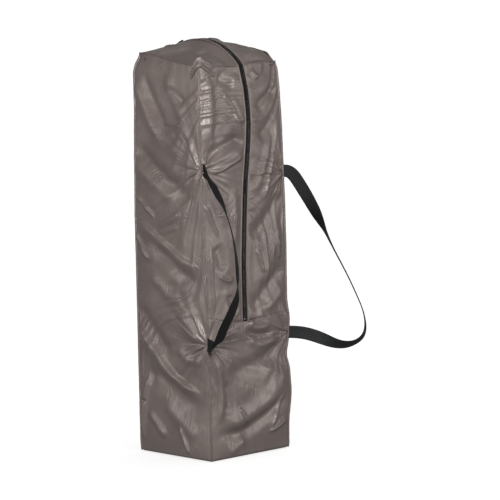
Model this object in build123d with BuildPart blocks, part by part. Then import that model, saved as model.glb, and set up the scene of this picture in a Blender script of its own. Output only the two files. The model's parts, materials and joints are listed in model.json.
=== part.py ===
"""A folding playpen, packed for carrying: the folded frame stands upright with its mattress
wrapped round it, inside a zipped carry bag with two webbing handles.

Millimetres, +Z up. The origin is the centre of the bag's base, on the surface that it stands on.
The zip runs up the front of the bag (-Y), over its top and ends at the back edge.
"""
from build123d import *
from math import asin, atan2, cos, degrees, hypot, pi, radians, sin
import os

# ---------------------------------------------------------------- driving dimensions
BAG_WIDTH = 205.0  # along X, across the zip
BAG_DEPTH = 190.0  # along Y
CLOTH = 1.0  # coated polyester with its seam allowances, as one thickness
FRONT_CORNER_Z = 778.0  # top seam at the two front corners
BACK_CORNER_Z = 788.0  # top seam at the two back corners
FRONT_CROWN_Z = 772.0  # top seam where the zip crosses it
BACK_CROWN_Z = 803.0  # top seam where the zip ends
CROWN_Z = 821.0  # highest point of the top, on the zip
FRONT_SEAM_Z = 277.0  # seam across the front, just under the zip's lower end

ZIP_GAP = 12.0  # strip of zip that shows between the two front panels
COIL_WIDTH = 1.8  # one half of the zip's coil
COIL_GAP = 1.2  # between the two halves, where the slider's post runs
COIL_THICK = 2.4
SLIDER_LENGTH = 22.0
SLIDER_WIDTH = 11.0

WEBBING = 25.0  # handle webbing, width
WEBBING_THICK = 1.6
SEAM_RIDGE = 3.0  # the corner seams stand out by this much
LEFT_TOP_Z = 576.0  # the left loop is sewn in a little higher than the right one
RIGHT_TOP_Z = 557.0
HANDLE_BOTTOM_Z = 234.0
LEFT_HANDLE_TURN = -110.0  # the way each loop points, in degrees from +X about +Z
RIGHT_HANDLE_TURN = -42.0

PAD_THICK = 12.0  # one folded segment of the mattress
PAD_LOW_Z = 68.0
PAD_HIGH_Z = 668.0
PAD_GAP = 0.5
WRAP_X = 98.5  # half the width of the wrapped mattress
WRAP_Y = 91.0

LEG_RADIUS = 11.0
RAIL_RADIUS = 9.5
BAR_RADIUS = 7.0
TUBE_WALL = 1.2
EYE_HALF_WIDTH = 4.0
PIN_RADIUS = 2.5
PIN_HOLE_RADIUS = 2.55
LEG_X = 58.0  # legs, from the frame's own centre
LEG_Y = 50.0
RAIL_SETBACK = 22.0  # from a leg to the pivot of each rail beside it
RAIL_PIVOT_Z = 728.0
LONG_LATCH_Z = 190.0
SHORT_LATCH_Z = 470.0
FOOT_LOW_Z = 1.3
FOOT_HIGH_Z = 58.0
CORNER_LOW_Z = 700.0
CORNER_HIGH_Z = 766.0
BAR_FOOT_Z = 42.0
BAR_HUB_Z = 660.0
WHEEL_RADIUS = 22.0
WHEEL_LIFT = 0.7  # the wheels hang clear when the playpen stands upright
WHEEL_WIDTH = 13.0
AXLE_RADIUS = 4.0
RUNNING = 0.05  # radial clearance of a part that turns

# ---------------------------------------------------------------- worked out from those
HALF_X = BAG_WIDTH / 2
HALF_Y = BAG_DEPTH / 2
IN_X = HALF_X - CLOTH
IN_Y = HALF_Y - CLOTH
HALF_ZIP = ZIP_GAP / 2
LAYERS = PAD_THICK + PAD_GAP
# Two of the six mattress segments lie inside the other four, at the left and the front,
# so the frame stands a little towards the back right.
FRAME_X = LAYERS / 2
FRAME_Y = LAYERS / 2


def arch_circle():
    """The zip's arch over the top: centre (y, z) and radius of the circle through both ends
    of the top seam that reaches CROWN_Z."""
    low, high = 0.0, FRONT_CROWN_Z
    for _ in range(60):
        z = (low + high) / 2
        radius = CROWN_Z - z
        to_front = (radius**2 - (FRONT_CROWN_Z - z) ** 2) ** 0.5
        to_back = (radius**2 - (BACK_CROWN_Z - z) ** 2) ** 0.5
        if to_front + to_back > BAG_DEPTH:
            low = z
        else:
            high = z
    return to_front - HALF_Y, z, radius


ARCH_Y, ARCH_Z, ARCH_R = arch_circle()
BACK_ANGLE = degrees(asin((HALF_Y - ARCH_Y) / ARCH_R))
FRONT_ANGLE = degrees(asin((HALF_Y + ARCH_Y) / ARCH_R))
SLIDER_HALF_ANGLE = degrees(SLIDER_LENGTH / 2 / ARCH_R)
STOP_ANGLE = 1.0
SLIDER_REST = BACK_ANGLE - SLIDER_HALF_ANGLE - STOP_ANGLE - 0.4
SLIDER_TRAVEL = SLIDER_REST + FRONT_ANGLE - SLIDER_HALF_ANGLE - 0.6

pieces = []


def finish(builder, name):
    """Labels a piece and keeps it for export."""
    builder.part.label = name
    pieces.append((name, builder.part))


def on_arch(angle, rise):
    """(y, z) at an angle from the top of the arch's circle, towards the back, and a height
    above the cloth."""
    reach = ARCH_R + rise
    return ARCH_Y + reach * sin(radians(angle)), ARCH_Z + reach * cos(radians(angle))


def slab(name, low, high):
    """A flat panel between two corners."""
    with BuildPart() as panel:
        with BuildSketch(Plane.XY.offset(low[2])):
            with Locations(((low[0] + high[0]) / 2, (low[1] + high[1]) / 2)):
                Rectangle(high[0] - low[0], high[1] - low[1])
        extrude(amount=high[2] - low[2])
    finish(panel, name)


# ---------------------------------------------------------------- carry bag
def gable(name, plane, points):
    """A flat panel whose top edge slopes, drawn on an upright plane and one cloth thick."""
    with BuildPart() as panel:
        with BuildSketch(plane):
            with BuildLine():
                Polyline(*points, close=True)
            make_face()
        extrude(amount=CLOTH)
    finish(panel, name)


def bag_sides():
    slopes = [
        (-HALF_Y, CLOTH),
        (HALF_Y, CLOTH),
        (HALF_Y, BACK_CORNER_Z),
        (-HALF_Y, FRONT_CORNER_Z),
    ]
    gable("bag_side_left", Plane.YZ.offset(-HALF_X), slopes)
    gable("bag_side_right", Plane.YZ.offset(IN_X), slopes)


def bag_back():
    outline = [
        (-IN_X, CLOTH),
        (IN_X, CLOTH),
        (IN_X, BACK_CORNER_Z),
        (0, BACK_CROWN_Z),
        (-IN_X, BACK_CORNER_Z),
    ]
    # Plane.XZ faces -Y, so a panel at the back grows forwards from the outer face.
    gable("bag_back", Plane.XZ.offset(-HALF_Y), outline)


def bag_front():
    slab("bag_front_lower", (-IN_X, -HALF_Y, CLOTH), (IN_X, -IN_Y, FRONT_SEAM_Z))
    for name, side in (("bag_front_left", -1), ("bag_front_right", 1)):
        outline = [
            (side * HALF_ZIP, FRONT_SEAM_Z),
            (side * IN_X, FRONT_SEAM_Z),
            (side * IN_X, FRONT_CORNER_Z),
            (side * HALF_ZIP, FRONT_CROWN_Z),
        ]
        gable(name, Plane.XZ.offset(IN_Y), outline)


def side_seam_z(y):
    """Height of the straight top seam at either side."""
    return FRONT_CORNER_Z + (BACK_CORNER_Z - FRONT_CORNER_Z) * (y + HALF_Y) / BAG_DEPTH


def bag_top():
    """Two halves, each ruled from the zip's arch down to the straight side seam."""
    for name, side in (("bag_top_left", -1), ("bag_top_right", 1)):
        with BuildPart() as half:
            with BuildSketch(Plane.YZ.offset(side * HALF_ZIP)):
                with BuildLine():
                    outer = ThreePointArc(
                        (-HALF_Y, FRONT_CROWN_Z), on_arch(0, 0), (HALF_Y, BACK_CROWN_Z)
                    )
                    back = Line(outer @ 1, (IN_Y, BACK_CROWN_Z))
                    inner = ThreePointArc(
                        back @ 1, on_arch(0, -CLOTH), (-IN_Y, FRONT_CROWN_Z)
                    )
                    Line(inner @ 1, outer @ 0)
                make_face()
            with BuildSketch(Plane.YZ.offset(side * HALF_X)):
                with BuildLine():
                    Polyline(
                        (-HALF_Y, side_seam_z(-HALF_Y) + CLOTH),
                        (HALF_Y, side_seam_z(HALF_Y) + CLOTH),
                        (IN_Y, side_seam_z(IN_Y)),
                        (-IN_Y, side_seam_z(-IN_Y)),
                        close=True,
                    )
                make_face()
            loft(ruled=True)
        finish(half, name)


def corner_seams():
    """The four upright corner seams, sewn as ridges that stand out from the bag."""
    with BuildPart() as ridges:
        for x, y, top in (
            (-1, -1, FRONT_CORNER_Z),
            (1, -1, FRONT_CORNER_Z),
            (-1, 1, BACK_CORNER_Z),
            (1, 1, BACK_CORNER_Z),
        ):
            with BuildSketch(Plane.XY.offset(CLOTH)):
                with Locations(
                    (x * (HALF_X + SEAM_RIDGE / 2), y * (HALF_Y + SEAM_RIDGE / 2))
                ):
                    Rectangle(SEAM_RIDGE, SEAM_RIDGE)
            extrude(amount=top - CLOTH)
    finish(ridges, "corner_seams")


# ---------------------------------------------------------------- zip
def zip_strip(name, inner_x, outer_x, low_rise, high_rise, side):
    """A strip that follows the front of the bag up and over the top, between two heights
    above the cloth's outer face."""
    low_y, high_y = -HALF_Y - low_rise, -HALF_Y - high_rise
    with BuildPart() as strip:
        with BuildSketch(Plane.YZ.offset(side * inner_x)):
            with BuildLine():
                upright_in = Line((low_y, FRONT_SEAM_Z), (low_y, FRONT_CROWN_Z))
                upright_out = Line((high_y, FRONT_SEAM_Z), (high_y, FRONT_CROWN_Z))
                Line(upright_in @ 0, upright_out @ 0)
                over_in = ThreePointArc(
                    upright_in @ 1, on_arch(0, low_rise), on_arch(BACK_ANGLE - 0.3, low_rise)
                )
                over_out = ThreePointArc(
                    upright_out @ 1,
                    on_arch(0, high_rise),
                    on_arch(BACK_ANGLE - 0.3, high_rise),
                )
                Line(over_in @ 1, over_out @ 1)
            make_face()
        extrude(amount=side * (outer_x - inner_x))
    finish(strip, name)


def zip_chain():
    coil_in = COIL_GAP / 2
    coil_out = coil_in + COIL_WIDTH
    for word, side in (("left", -1), ("right", 1)):
        zip_strip(f"zip_tape_{word}", coil_out, HALF_ZIP, -CLOTH, 0, side)
        zip_strip(
            f"zip_coil_{word}",
            coil_in,
            coil_out,
            (-CLOTH - COIL_THICK) / 2,
            (-CLOTH + COIL_THICK) / 2,
            side,
        )


def zip_stops():
    """The box stop that joins the coils at the lower end and a stop on each coil at the top."""
    coil_top = (-CLOTH + COIL_THICK) / 2
    coil_out = COIL_GAP / 2 + COIL_WIDTH
    with BuildPart() as stops:
        with BuildSketch(Plane.XZ.offset(HALF_Y + coil_top)):
            with Locations((0, FRONT_SEAM_Z + 4)):
                Rectangle(2 * coil_out, 6)
        extrude(amount=1.2)
        for side in (-1, 1):
            with BuildSketch(Plane.YZ.offset(side * COIL_GAP / 2)):
                with BuildLine():
                    Polyline(
                        on_arch(BACK_ANGLE - 0.4, coil_top),
                        on_arch(BACK_ANGLE - 0.4, coil_top + 1.4),
                        on_arch(BACK_ANGLE - 0.4 - STOP_ANGLE, coil_top + 1.4),
                        on_arch(BACK_ANGLE - 0.4 - STOP_ANGLE, coil_top + 0.03),
                        close=True,
                    )
                make_face()
            extrude(amount=side * COIL_WIDTH)
    finish(stops, "zip_stops")


def arch_sector(from_angle, to_angle, low_rise, high_rise):
    """Draws a face between two angles and two heights on the arch. Call it in a BuildSketch
    on a YZ plane."""
    middle = (from_angle + to_angle) / 2
    with BuildLine() as outline:
        low = ThreePointArc(
            on_arch(from_angle, low_rise), on_arch(middle, low_rise), on_arch(to_angle, low_rise)
        )
        high = ThreePointArc(
            on_arch(from_angle, high_rise),
            on_arch(middle, high_rise),
            on_arch(to_angle, high_rise),
        )
        Line(low @ 0, high @ 0)
        Line(low @ 1, high @ 1)
    make_face(outline.edges())


SLIDER_BACK = SLIDER_REST + SLIDER_HALF_ANGLE
SLIDER_FRONT = SLIDER_REST - SLIDER_HALF_ANGLE
CHANNEL_TOP = 1.1  # slider's channel above the cloth's outer face
CHANNEL_BOTTOM = -2.1
SLIDER_PLATE = 1.2
TAPE_CLEARANCE = 0.4
BAIL_RISE = 4.2  # pull tab's pivot above the cloth
BAIL_HALF_WIDTH = 1.6


def zip_slider():
    """Two plates joined by a post at the end that parts the coils, with rims that hold the
    coils in and a bail on top for the pull tab."""
    half = SLIDER_WIDTH / 2
    rim = 1.3
    with BuildPart() as slider:
        for low, high in (
            (CHANNEL_TOP, CHANNEL_TOP + SLIDER_PLATE),
            (CHANNEL_BOTTOM - SLIDER_PLATE, CHANNEL_BOTTOM),
        ):
            with BuildSketch(Plane.YZ):
                arch_sector(SLIDER_FRONT, SLIDER_BACK, low, high)
            extrude(amount=half, both=True)
        for side in (-1, 1):
            for low, high in (
                (TAPE_CLEARANCE, CHANNEL_TOP),
                (CHANNEL_BOTTOM, -CLOTH - TAPE_CLEARANCE),
            ):
                with BuildSketch(Plane.YZ.offset(side * (half - rim))):
                    arch_sector(SLIDER_FRONT, SLIDER_BACK, low, high)
                extrude(amount=side * rim)
        with BuildSketch(Plane.YZ):
            arch_sector(SLIDER_BACK - 1.4, SLIDER_BACK, CHANNEL_BOTTOM, CHANNEL_TOP)
        extrude(amount=COIL_GAP / 2 - 0.15, both=True)
        with BuildSketch(Plane.YZ):
            arch_sector(
                SLIDER_REST - 2.2, SLIDER_REST + 2.2, CHANNEL_TOP + SLIDER_PLATE, BAIL_RISE + 2.4
            )
        extrude(amount=BAIL_HALF_WIDTH, both=True)
        with BuildSketch(Plane.YZ):
            with Locations(on_arch(SLIDER_REST, BAIL_RISE)):
                Circle(1.5)
        extrude(amount=half, both=True, mode=Mode.SUBTRACT)
    finish(slider, "zip_slider")


def zip_pull_tab():
    """A pin through the slider's bail, two arms and a flat pull, lying towards the back."""
    pin_y, pin_z = on_arch(SLIDER_REST, BAIL_RISE)
    # Local X runs along the tab, away from its pivot; local Y is across it.
    along = (0, cos(radians(SLIDER_REST)), -sin(radians(SLIDER_REST)))
    flat = Plane(origin=(0, pin_y, pin_z), x_dir=along, z_dir=(0, along[2] * -1, along[1]))
    arm_in, arm_out = BAIL_HALF_WIDTH + 0.4, BAIL_HALF_WIDTH + 2.2
    with BuildPart() as tab:
        with BuildSketch(Plane.YZ):
            with Locations((pin_y, pin_z)):
                Circle(1.2)
        extrude(amount=arm_out, both=True)
        with BuildSketch(flat):
            for side in (-1, 1):
                with Locations((5.0, side * (arm_in + arm_out) / 2)):
                    Rectangle(12.4, arm_out - arm_in)
            with Locations((22.0, 0)):
                RectangleRounded(23.0, 2 * arm_out, 2.4)
        extrude(amount=0.8, both=True)
        with BuildSketch(flat):
            with Locations((29.0, 0)):
                Circle(1.4)
        extrude(amount=2, both=True, mode=Mode.SUBTRACT)
    finish(tab, "zip_pull_tab")


# ---------------------------------------------------------------- handles
AXIS_OUT = SEAM_RIDGE + 1.2  # a handle swings about a line just outside its seam's ridge
HANDLE_STATIONS = 18
# Each loop's line, as distance out from its swing axis and height. The webbing leaves the
# seam level, falls away and comes back level to the seam.
RIGHT_ROUTE = [
    (1.0, RIGHT_TOP_Z),
    (26, 533),
    (46, 498),
    (69, 452),
    (92, 401),
    (117, 350),
    (138, 302),
    (152, 257),
    (147, 222),
    (115, 206),
    (66, 219),
    (30, 231),
    (1.0, HANDLE_BOTTOM_Z),
]
LEFT_ROUTE = [
    (1.0, LEFT_TOP_Z),
    (28, 564),
    (64, 540),
    (107, 508),
    (142, 468),
    (162, 418),
    (163, 368),
    (145, 333),
    (118, 305),
    (88, 279),
    (56, 248),
    (26, 233),
    (1.0, HANDLE_BOTTOM_Z),
]


def webbing_loop(name, side, turn, route):
    """A strip of webbing along a route in the upright plane that points at turn. Both ends
    stand upright in the seam, and the strip twists a quarter turn to lie flat in the hand."""
    out = Vector(cos(radians(turn)), sin(radians(turn)), 0)
    axis = Vector(side * (HALF_X + AXIS_OUT), -(HALF_Y + AXIS_OUT), 0)
    line = Spline(
        *[axis + out * reach + Vector(0, 0, z) for reach, z in route],
        tangents=[out, out * -1],
    )
    across = out.cross(Vector(0, 0, 1))
    with BuildPart() as strap:
        for k in range(HANDLE_STATIONS + 1):
            share = k / HANDLE_STATIONS
            along = line % share
            upright = across.cross(along).normalized()
            twist = radians(90) * sin(pi * share) ** 0.6
            width_way = upright * cos(twist) + across * sin(twist)
            with BuildSketch(Plane(origin=line @ share, x_dir=width_way, z_dir=along)):
                Rectangle(WEBBING, WEBBING_THICK)
        loft(ruled=True)
    finish(strap, name)


# ---------------------------------------------------------------- folded frame
def frame_point(x, y, z):
    """A point measured from the folded frame's own centre."""
    return Vector(FRAME_X + x, FRAME_Y + y, z)


def drill(at, way, radius, reach):
    """Cuts a round hole through the part in hand, centred on a point."""
    with BuildSketch(Plane(origin=at, z_dir=way)) as hole:
        Circle(radius)
    extrude(hole.sketch, amount=reach, both=True, mode=Mode.SUBTRACT)


def strut(name, low, high, radius, pin_way):
    """A tube with a cross eye for a pin at each end, and a small vent hole half-way."""
    way = (high - low).normalized()
    with BuildPart() as tube:
        with BuildSketch(Plane(origin=low, z_dir=way)):
            Circle(radius)
            Circle(radius - TUBE_WALL, mode=Mode.SUBTRACT)
        extrude(amount=(high - low).length)
        for end in (low, high):
            with BuildSketch(Plane(origin=end, z_dir=pin_way)):
                Circle(radius - TUBE_WALL / 3)
            extrude(amount=EYE_HALF_WIDTH, both=True)
            drill(end, pin_way, PIN_HOLE_RADIUS, radius + 2)
        with BuildSketch(Plane(origin=(low + high) / 2, z_dir=pin_way)):
            Circle(1.5)
        extrude(amount=radius + 1, mode=Mode.SUBTRACT)
    finish(tube, name)


pins = []  # (middle, direction, half length, radius) of each pin in the frame


def corner_names():
    for y_word, y in (("front", -1), ("back", 1)):
        for x_word, x in (("left", -1), ("right", 1)):
            yield f"{y_word}_{x_word}", x, y


def legs():
    for word, x, y in corner_names():
        with BuildPart() as leg:
            at = frame_point(x * LEG_X, y * LEG_Y, 0)
            with BuildSketch(Plane.XY.offset(FOOT_LOW_Z + 6)):
                with Locations((at.X, at.Y)):
                    Circle(LEG_RADIUS)
                    Circle(LEG_RADIUS - TUBE_WALL, mode=Mode.SUBTRACT)
            extrude(amount=CORNER_HIGH_Z - 8 - FOOT_LOW_Z - 6)
        finish(leg, f"leg_{word}")


def housing(x, y, low_z, high_z, inward, outward):
    """Starts a moulded block round a leg and returns the leg's place. Call it in a BuildPart."""
    leg = frame_point(x * LEG_X, y * LEG_Y, low_z)
    with BuildSketch(Plane.XY.offset(low_z)) as outline:
        with Locations(
            (leg.X + x * (outward - inward) / 2, leg.Y + y * (outward - inward) / 2)
        ):
            RectangleRounded(inward + outward, inward + outward, 8)
    extrude(outline.sketch, amount=high_z - low_z)
    return leg


def top_corners():
    """Moulded corners that hold the legs and carry the pivots of the top rails."""
    slot = 2 * RAIL_RADIUS + 1
    for word, x, y in corner_names():
        with BuildPart() as corner:
            leg = housing(x, y, CORNER_LOW_Z, CORNER_HIGH_Z, 34.5, 16.5)
            fillet(corner.faces().sort_by(Axis.Z)[-1].edges(), 5)
            with BuildSketch(Plane.XY.offset(CORNER_LOW_Z)):
                with Locations((leg.X, leg.Y)):
                    Circle(LEG_RADIUS + 0.1)
            extrude(amount=CORNER_HIGH_Z - 8 - CORNER_LOW_Z, mode=Mode.SUBTRACT)
            # One slot for the long rail, one for the short rail, both open below and inwards.
            with BuildSketch(Plane.XY.offset(CORNER_LOW_Z)):
                with Locations((leg.X - x * (RAIL_SETBACK + 2), leg.Y)):
                    Rectangle(slot + 4, 2 * RAIL_RADIUS - 2)
                with Locations((leg.X, leg.Y - y * (RAIL_SETBACK + 2))):
                    Rectangle(2 * RAIL_RADIUS - 2, slot + 4)
                with Locations(
                    (leg.X - x * RAIL_SETBACK, leg.Y),
                    (leg.X, leg.Y - y * RAIL_SETBACK),
                ):
                    Circle(RAIL_RADIUS + 1.2)
            extrude(amount=RAIL_PIVOT_Z + 13 - CORNER_LOW_Z, mode=Mode.SUBTRACT)
            for dx, dy, way in (
                (x * RAIL_SETBACK, 0, (0, 1, 0)),
                (0, y * RAIL_SETBACK, (1, 0, 0)),
            ):
                at = Vector(leg.X - dx, leg.Y - dy, RAIL_PIVOT_Z)
                drill(at, way, PIN_RADIUS, 15)
                pins.append((at, way, 14, PIN_RADIUS))
        finish(corner, f"top_corner_{word}")


def feet():
    """Moulded feet: leg socket, slot and pin for a floor bar, and on the left an axle boss."""
    for word, x, y in corner_names():
        diagonal = Vector(x * 24, y * 18, 0).normalized()
        across = diagonal.cross(Vector(0, 0, 1))
        at = frame_point(x * 36, y * 26, BAR_FOOT_Z)
        with BuildPart() as foot:
            leg = housing(x, y, FOOT_LOW_Z, FOOT_HIGH_Z, 34.5, 16.5)
            chamfer(foot.faces().sort_by(Axis.Z)[0].edges(), 2)
            with BuildSketch(Plane.XY.offset(FOOT_LOW_Z + 6)):
                with Locations((leg.X, leg.Y)):
                    Circle(LEG_RADIUS + 0.1)
            extrude(amount=FOOT_HIGH_Z, mode=Mode.SUBTRACT)
            with BuildSketch(
                Plane(origin=(at.X, at.Y, BAR_FOOT_Z - 14), x_dir=diagonal, z_dir=(0, 0, 1))
            ):
                with Locations((-8, 0)):
                    Rectangle(38, 2 * BAR_RADIUS + 1.6)
            extrude(amount=FOOT_HIGH_Z, mode=Mode.SUBTRACT)
            drill(at, across, PIN_RADIUS, 12.5)
            if x < 0:
                drill(
                    Vector(leg.X - 16.5, leg.Y, FOOT_LOW_Z + WHEEL_LIFT + WHEEL_RADIUS),
                    (1, 0, 0),
                    AXLE_RADIUS,
                    5,
                )
        pins.append((at, across, 11.5, PIN_RADIUS))
        finish(foot, f"foot_{word}")


def rails():
    """Each top rail is two tubes and a latch. Folded, the tubes hang from the corners beside
    the legs and the latch joins their lower ends."""
    for word, x, y in corner_names():
        y_word, x_word = word.split("_")
        long_at = frame_point(x * (LEG_X - RAIL_SETBACK), y * LEG_Y, 0)
        short_at = frame_point(x * LEG_X, y * (LEG_Y - RAIL_SETBACK), 0)
        for name, at, low_z, way in (
            (f"rail_{y_word}_{x_word}_half", long_at, LONG_LATCH_Z, (0, 1, 0)),
            (f"rail_{x_word}_{y_word}_half", short_at, SHORT_LATCH_Z, (1, 0, 0)),
        ):
            strut(
                name,
                Vector(at.X, at.Y, low_z),
                Vector(at.X, at.Y, RAIL_PIVOT_Z),
                RAIL_RADIUS,
                Vector(*way),
            )


def latch(name, middle, way, reach):
    """A moulded housing that joins the lower ends of two rail tubes, with a button recess.
    way is the horizontal direction from one tube to the other."""
    across = way.cross(Vector(0, 0, 1))
    with BuildPart() as body:
        with BuildSketch(Plane(origin=middle - Vector(0, 0, 26), x_dir=way, z_dir=(0, 0, 1))):
            RectangleRounded(2 * reach + 20, 26, 6)
        extrude(amount=40)
        fillet(body.faces().sort_by(Axis.Z)[0].edges(), 3)
        for side in (-1, 1):
            at = middle + way * (side * reach)
            with BuildSketch(Plane(origin=at - Vector(0, 0, 13), x_dir=way, z_dir=(0, 0, 1))):
                Circle(RAIL_RADIUS + 1.3)
            extrude(amount=60, mode=Mode.SUBTRACT)
            drill(at, across, PIN_RADIUS, 13)
            pins.append((at, across, 12, PIN_RADIUS))
        with BuildSketch(Plane(origin=middle - Vector(0, 0, 26), x_dir=way, z_dir=(0, 0, 1))):
            SlotOverall(22, 12)
        extrude(amount=4, mode=Mode.SUBTRACT)
    finish(body, name)


def latches():
    along_x, along_y = Vector(1, 0, 0), Vector(0, 1, 0)
    for word, side in (("front", -1), ("back", 1)):
        at = frame_point(0, side * LEG_Y, LONG_LATCH_Z)
        latch(f"rail_latch_{word}", at, along_x, LEG_X - RAIL_SETBACK)
    for word, side in (("left", -1), ("right", 1)):
        at = frame_point(side * LEG_X, 0, SHORT_LATCH_Z)
        latch(f"rail_latch_{word}", at, along_y, LEG_Y - RAIL_SETBACK)


def floor_frame():
    """Four bars from the feet up to the hub that is lifted to fold the frame."""
    hub_pivots = []
    for word, x, y in corner_names():
        low = frame_point(x * 36, y * 26, BAR_FOOT_Z)
        high = frame_point(x * 24, y * 18, BAR_HUB_Z)
        diagonal = Vector(x * 24, y * 18, 0).normalized()
        across = diagonal.cross(Vector(0, 0, 1))
        strut(f"floor_bar_{word}", low, high, BAR_RADIUS, across)
        pins.append((high, across, 10.5, PIN_RADIUS))
        hub_pivots.append((high, diagonal, across))
    with BuildPart() as hub:
        middle = frame_point(0, 0, 0)
        with BuildSketch(Plane.XY.offset(BAR_HUB_Z - 12)):
            with Locations((middle.X, middle.Y)):
                Circle(43)
        extrude(amount=34)
        fillet(hub.faces().sort_by(Axis.Z)[-1].edges(), 6)
        for high, diagonal, across in hub_pivots:
            with BuildSketch(
                Plane(origin=high - Vector(0, 0, 14), x_dir=diagonal, z_dir=(0, 0, 1))
            ):
                with Locations((6, 0)):
                    Rectangle(30, 2 * BAR_RADIUS + 1.6)
            extrude(amount=26, mode=Mode.SUBTRACT)
            drill(high, across, PIN_RADIUS, 11.5)
    finish(hub, "floor_hub")


def hub_pull_loop():
    """A webbing loop on the hub, pulled up to fold the floor. It holds up the bag's crown."""
    base_z = BAR_HUB_Z + 22
    top_z = 806.0
    half = 17.0
    with BuildPart() as loop:
        # Plane.XZ faces -Y, so the strip's middle is put on the hub's centre.
        with BuildSketch(Plane.XZ.offset(-FRAME_Y)):
            with BuildLine():
                left = Line((FRAME_X - half, base_z), (FRAME_X - half, top_z - half))
                arc = ThreePointArc(
                    left @ 1, (FRAME_X, top_z), (FRAME_X + half, top_z - half)
                )
                Line(arc @ 1, (FRAME_X + half, base_z))
                Line((FRAME_X + half, base_z), (FRAME_X + half - 1.6, base_z))
                right = Line(
                    (FRAME_X + half - 1.6, base_z), (FRAME_X + half - 1.6, top_z - half)
                )
                inner = ThreePointArc(
                    right @ 1, (FRAME_X, top_z - 1.6), (FRAME_X - half + 1.6, top_z - half)
                )
                Line(inner @ 1, (FRAME_X - half + 1.6, base_z))
                Line((FRAME_X - half + 1.6, base_z), (FRAME_X - half, base_z))
            make_face()
        extrude(amount=12.5, both=True)
    finish(loop, "hub_pull_loop")


def wheels():
    for word, y in (("front", -1), ("back", 1)):
        leg = frame_point(-LEG_X, y * LEG_Y, FOOT_LOW_Z + WHEEL_LIFT + WHEEL_RADIUS)
        middle = Vector(leg.X - 16.5 - 1.5 - WHEEL_WIDTH / 2, leg.Y, leg.Z)
        with BuildPart() as wheel:
            with BuildSketch(Plane(origin=middle, z_dir=(1, 0, 0))):
                Circle(WHEEL_RADIUS)
            extrude(amount=WHEEL_WIDTH / 2, both=True)
            rims = wheel.edges().filter_by(GeomType.CIRCLE).sort_by(SortBy.RADIUS)[-2:]
            fillet(rims, 2.5)
            with BuildSketch(Plane(origin=middle - Vector(WHEEL_WIDTH / 2, 0, 0), z_dir=(1, 0, 0))):
                Circle(WHEEL_RADIUS - 5)
                Circle(AXLE_RADIUS + 4, mode=Mode.SUBTRACT)
            extrude(amount=3, mode=Mode.SUBTRACT)
            drill(middle, (1, 0, 0), AXLE_RADIUS + RUNNING, WHEEL_WIDTH)
        finish(wheel, f"wheel_{word}")
        axle_half = (WHEEL_WIDTH + 2.8 + 5) / 2
        axle_middle = Vector(leg.X - 16.5 + 5 - axle_half, leg.Y, leg.Z)
        pins.append((axle_middle, (1, 0, 0), axle_half, AXLE_RADIUS))
        # The axle's head keeps the wheel on.
        head = Vector(middle.X - WHEEL_WIDTH / 2 - 1.0, leg.Y, leg.Z)
        pins.append((head, (1, 0, 0), 0.6, AXLE_RADIUS + 2.5))


def frame_pins():
    """Every pivot pin and wheel axle of the folded frame."""
    with BuildPart() as group:
        for at, way, half_length, radius in pins:
            with BuildSketch(Plane(origin=at, z_dir=way)):
                Circle(radius)
            extrude(amount=half_length, both=True)
    finish(group, "frame_pins")


def side_fabric():
    """The playpen's own cloth and mesh walls, gathered round the folded frame as a sleeve."""
    outer_x, outer_y, wall = 79.5, 72.0, 5.0
    with BuildPart() as sleeve:
        with BuildSketch(Plane.XY.offset(FOOT_HIGH_Z + 2)):
            with Locations((FRAME_X, FRAME_Y)):
                RectangleRounded(2 * outer_x, 2 * outer_y, 12)
                RectangleRounded(
                    2 * (outer_x - wall), 2 * (outer_y - wall), 8, mode=Mode.SUBTRACT
                )
        extrude(amount=684 - FOOT_HIGH_Z - 2)
    finish(sleeve, "side_fabric")


def mattress():
    """Six folded segments: two at the left and front inside, then one on each of four sides."""
    out_x, out_y, t, g = WRAP_X, WRAP_Y, PAD_THICK, PAD_GAP
    mid_x, mid_y = out_x - LAYERS, out_y - LAYERS
    segments = [
        (-mid_x, -mid_x + t, -mid_y + t + g, mid_y),
        (-mid_x, mid_x, -mid_y, -mid_y + t),
        (out_x - t, out_x, -out_y, out_y - t - g),
        (-out_x + t + g, out_x, out_y - t, out_y),
        (-out_x, -out_x + t, -out_y + t + g, out_y),
        (-out_x, out_x - t - g, -out_y, -out_y + t),
    ]
    for number, (x0, x1, y0, y1) in enumerate(segments, 1):
        with BuildPart() as pad:
            with BuildSketch(Plane.XY.offset(PAD_LOW_Z)):
                with Locations(((x0 + x1) / 2, (y0 + y1) / 2)):
                    RectangleRounded(x1 - x0, y1 - y0, t / 3)
            extrude(amount=PAD_HIGH_Z - PAD_LOW_Z)
        finish(pad, f"mattress_pad_{number}")


def mattress_straps():
    """Two hook-and-loop straps that hold the mattress wrapped."""
    with BuildPart() as straps:
        for low_z in (190.0, 520.0):
            with BuildSketch(Plane.XY.offset(low_z)):
                RectangleRounded(2 * WRAP_X + 2.8, 2 * WRAP_Y + 2.8, 4)
                RectangleRounded(2 * WRAP_X + 0.2, 2 * WRAP_Y + 0.2, 3, mode=Mode.SUBTRACT)
            extrude(amount=30)
    finish(straps, "mattress_straps")


slab("bag_base", (-HALF_X, -HALF_Y, 0), (HALF_X, HALF_Y, CLOTH))
bag_sides()
bag_back()
bag_front()
bag_top()
corner_seams()
zip_chain()
zip_stops()
zip_slider()
zip_pull_tab()
webbing_loop("handle_left", -1, LEFT_HANDLE_TURN, LEFT_ROUTE)
webbing_loop("handle_right", 1, RIGHT_HANDLE_TURN, RIGHT_ROUTE)
legs()
top_corners()
feet()
rails()
latches()
floor_frame()
hub_pull_loop()
wheels()
frame_pins()
side_fabric()
mattress()
mattress_straps()

os.makedirs("parts", exist_ok=True)
for name, part in pieces:
    export_step(part, f"parts/{name}.step")

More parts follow.
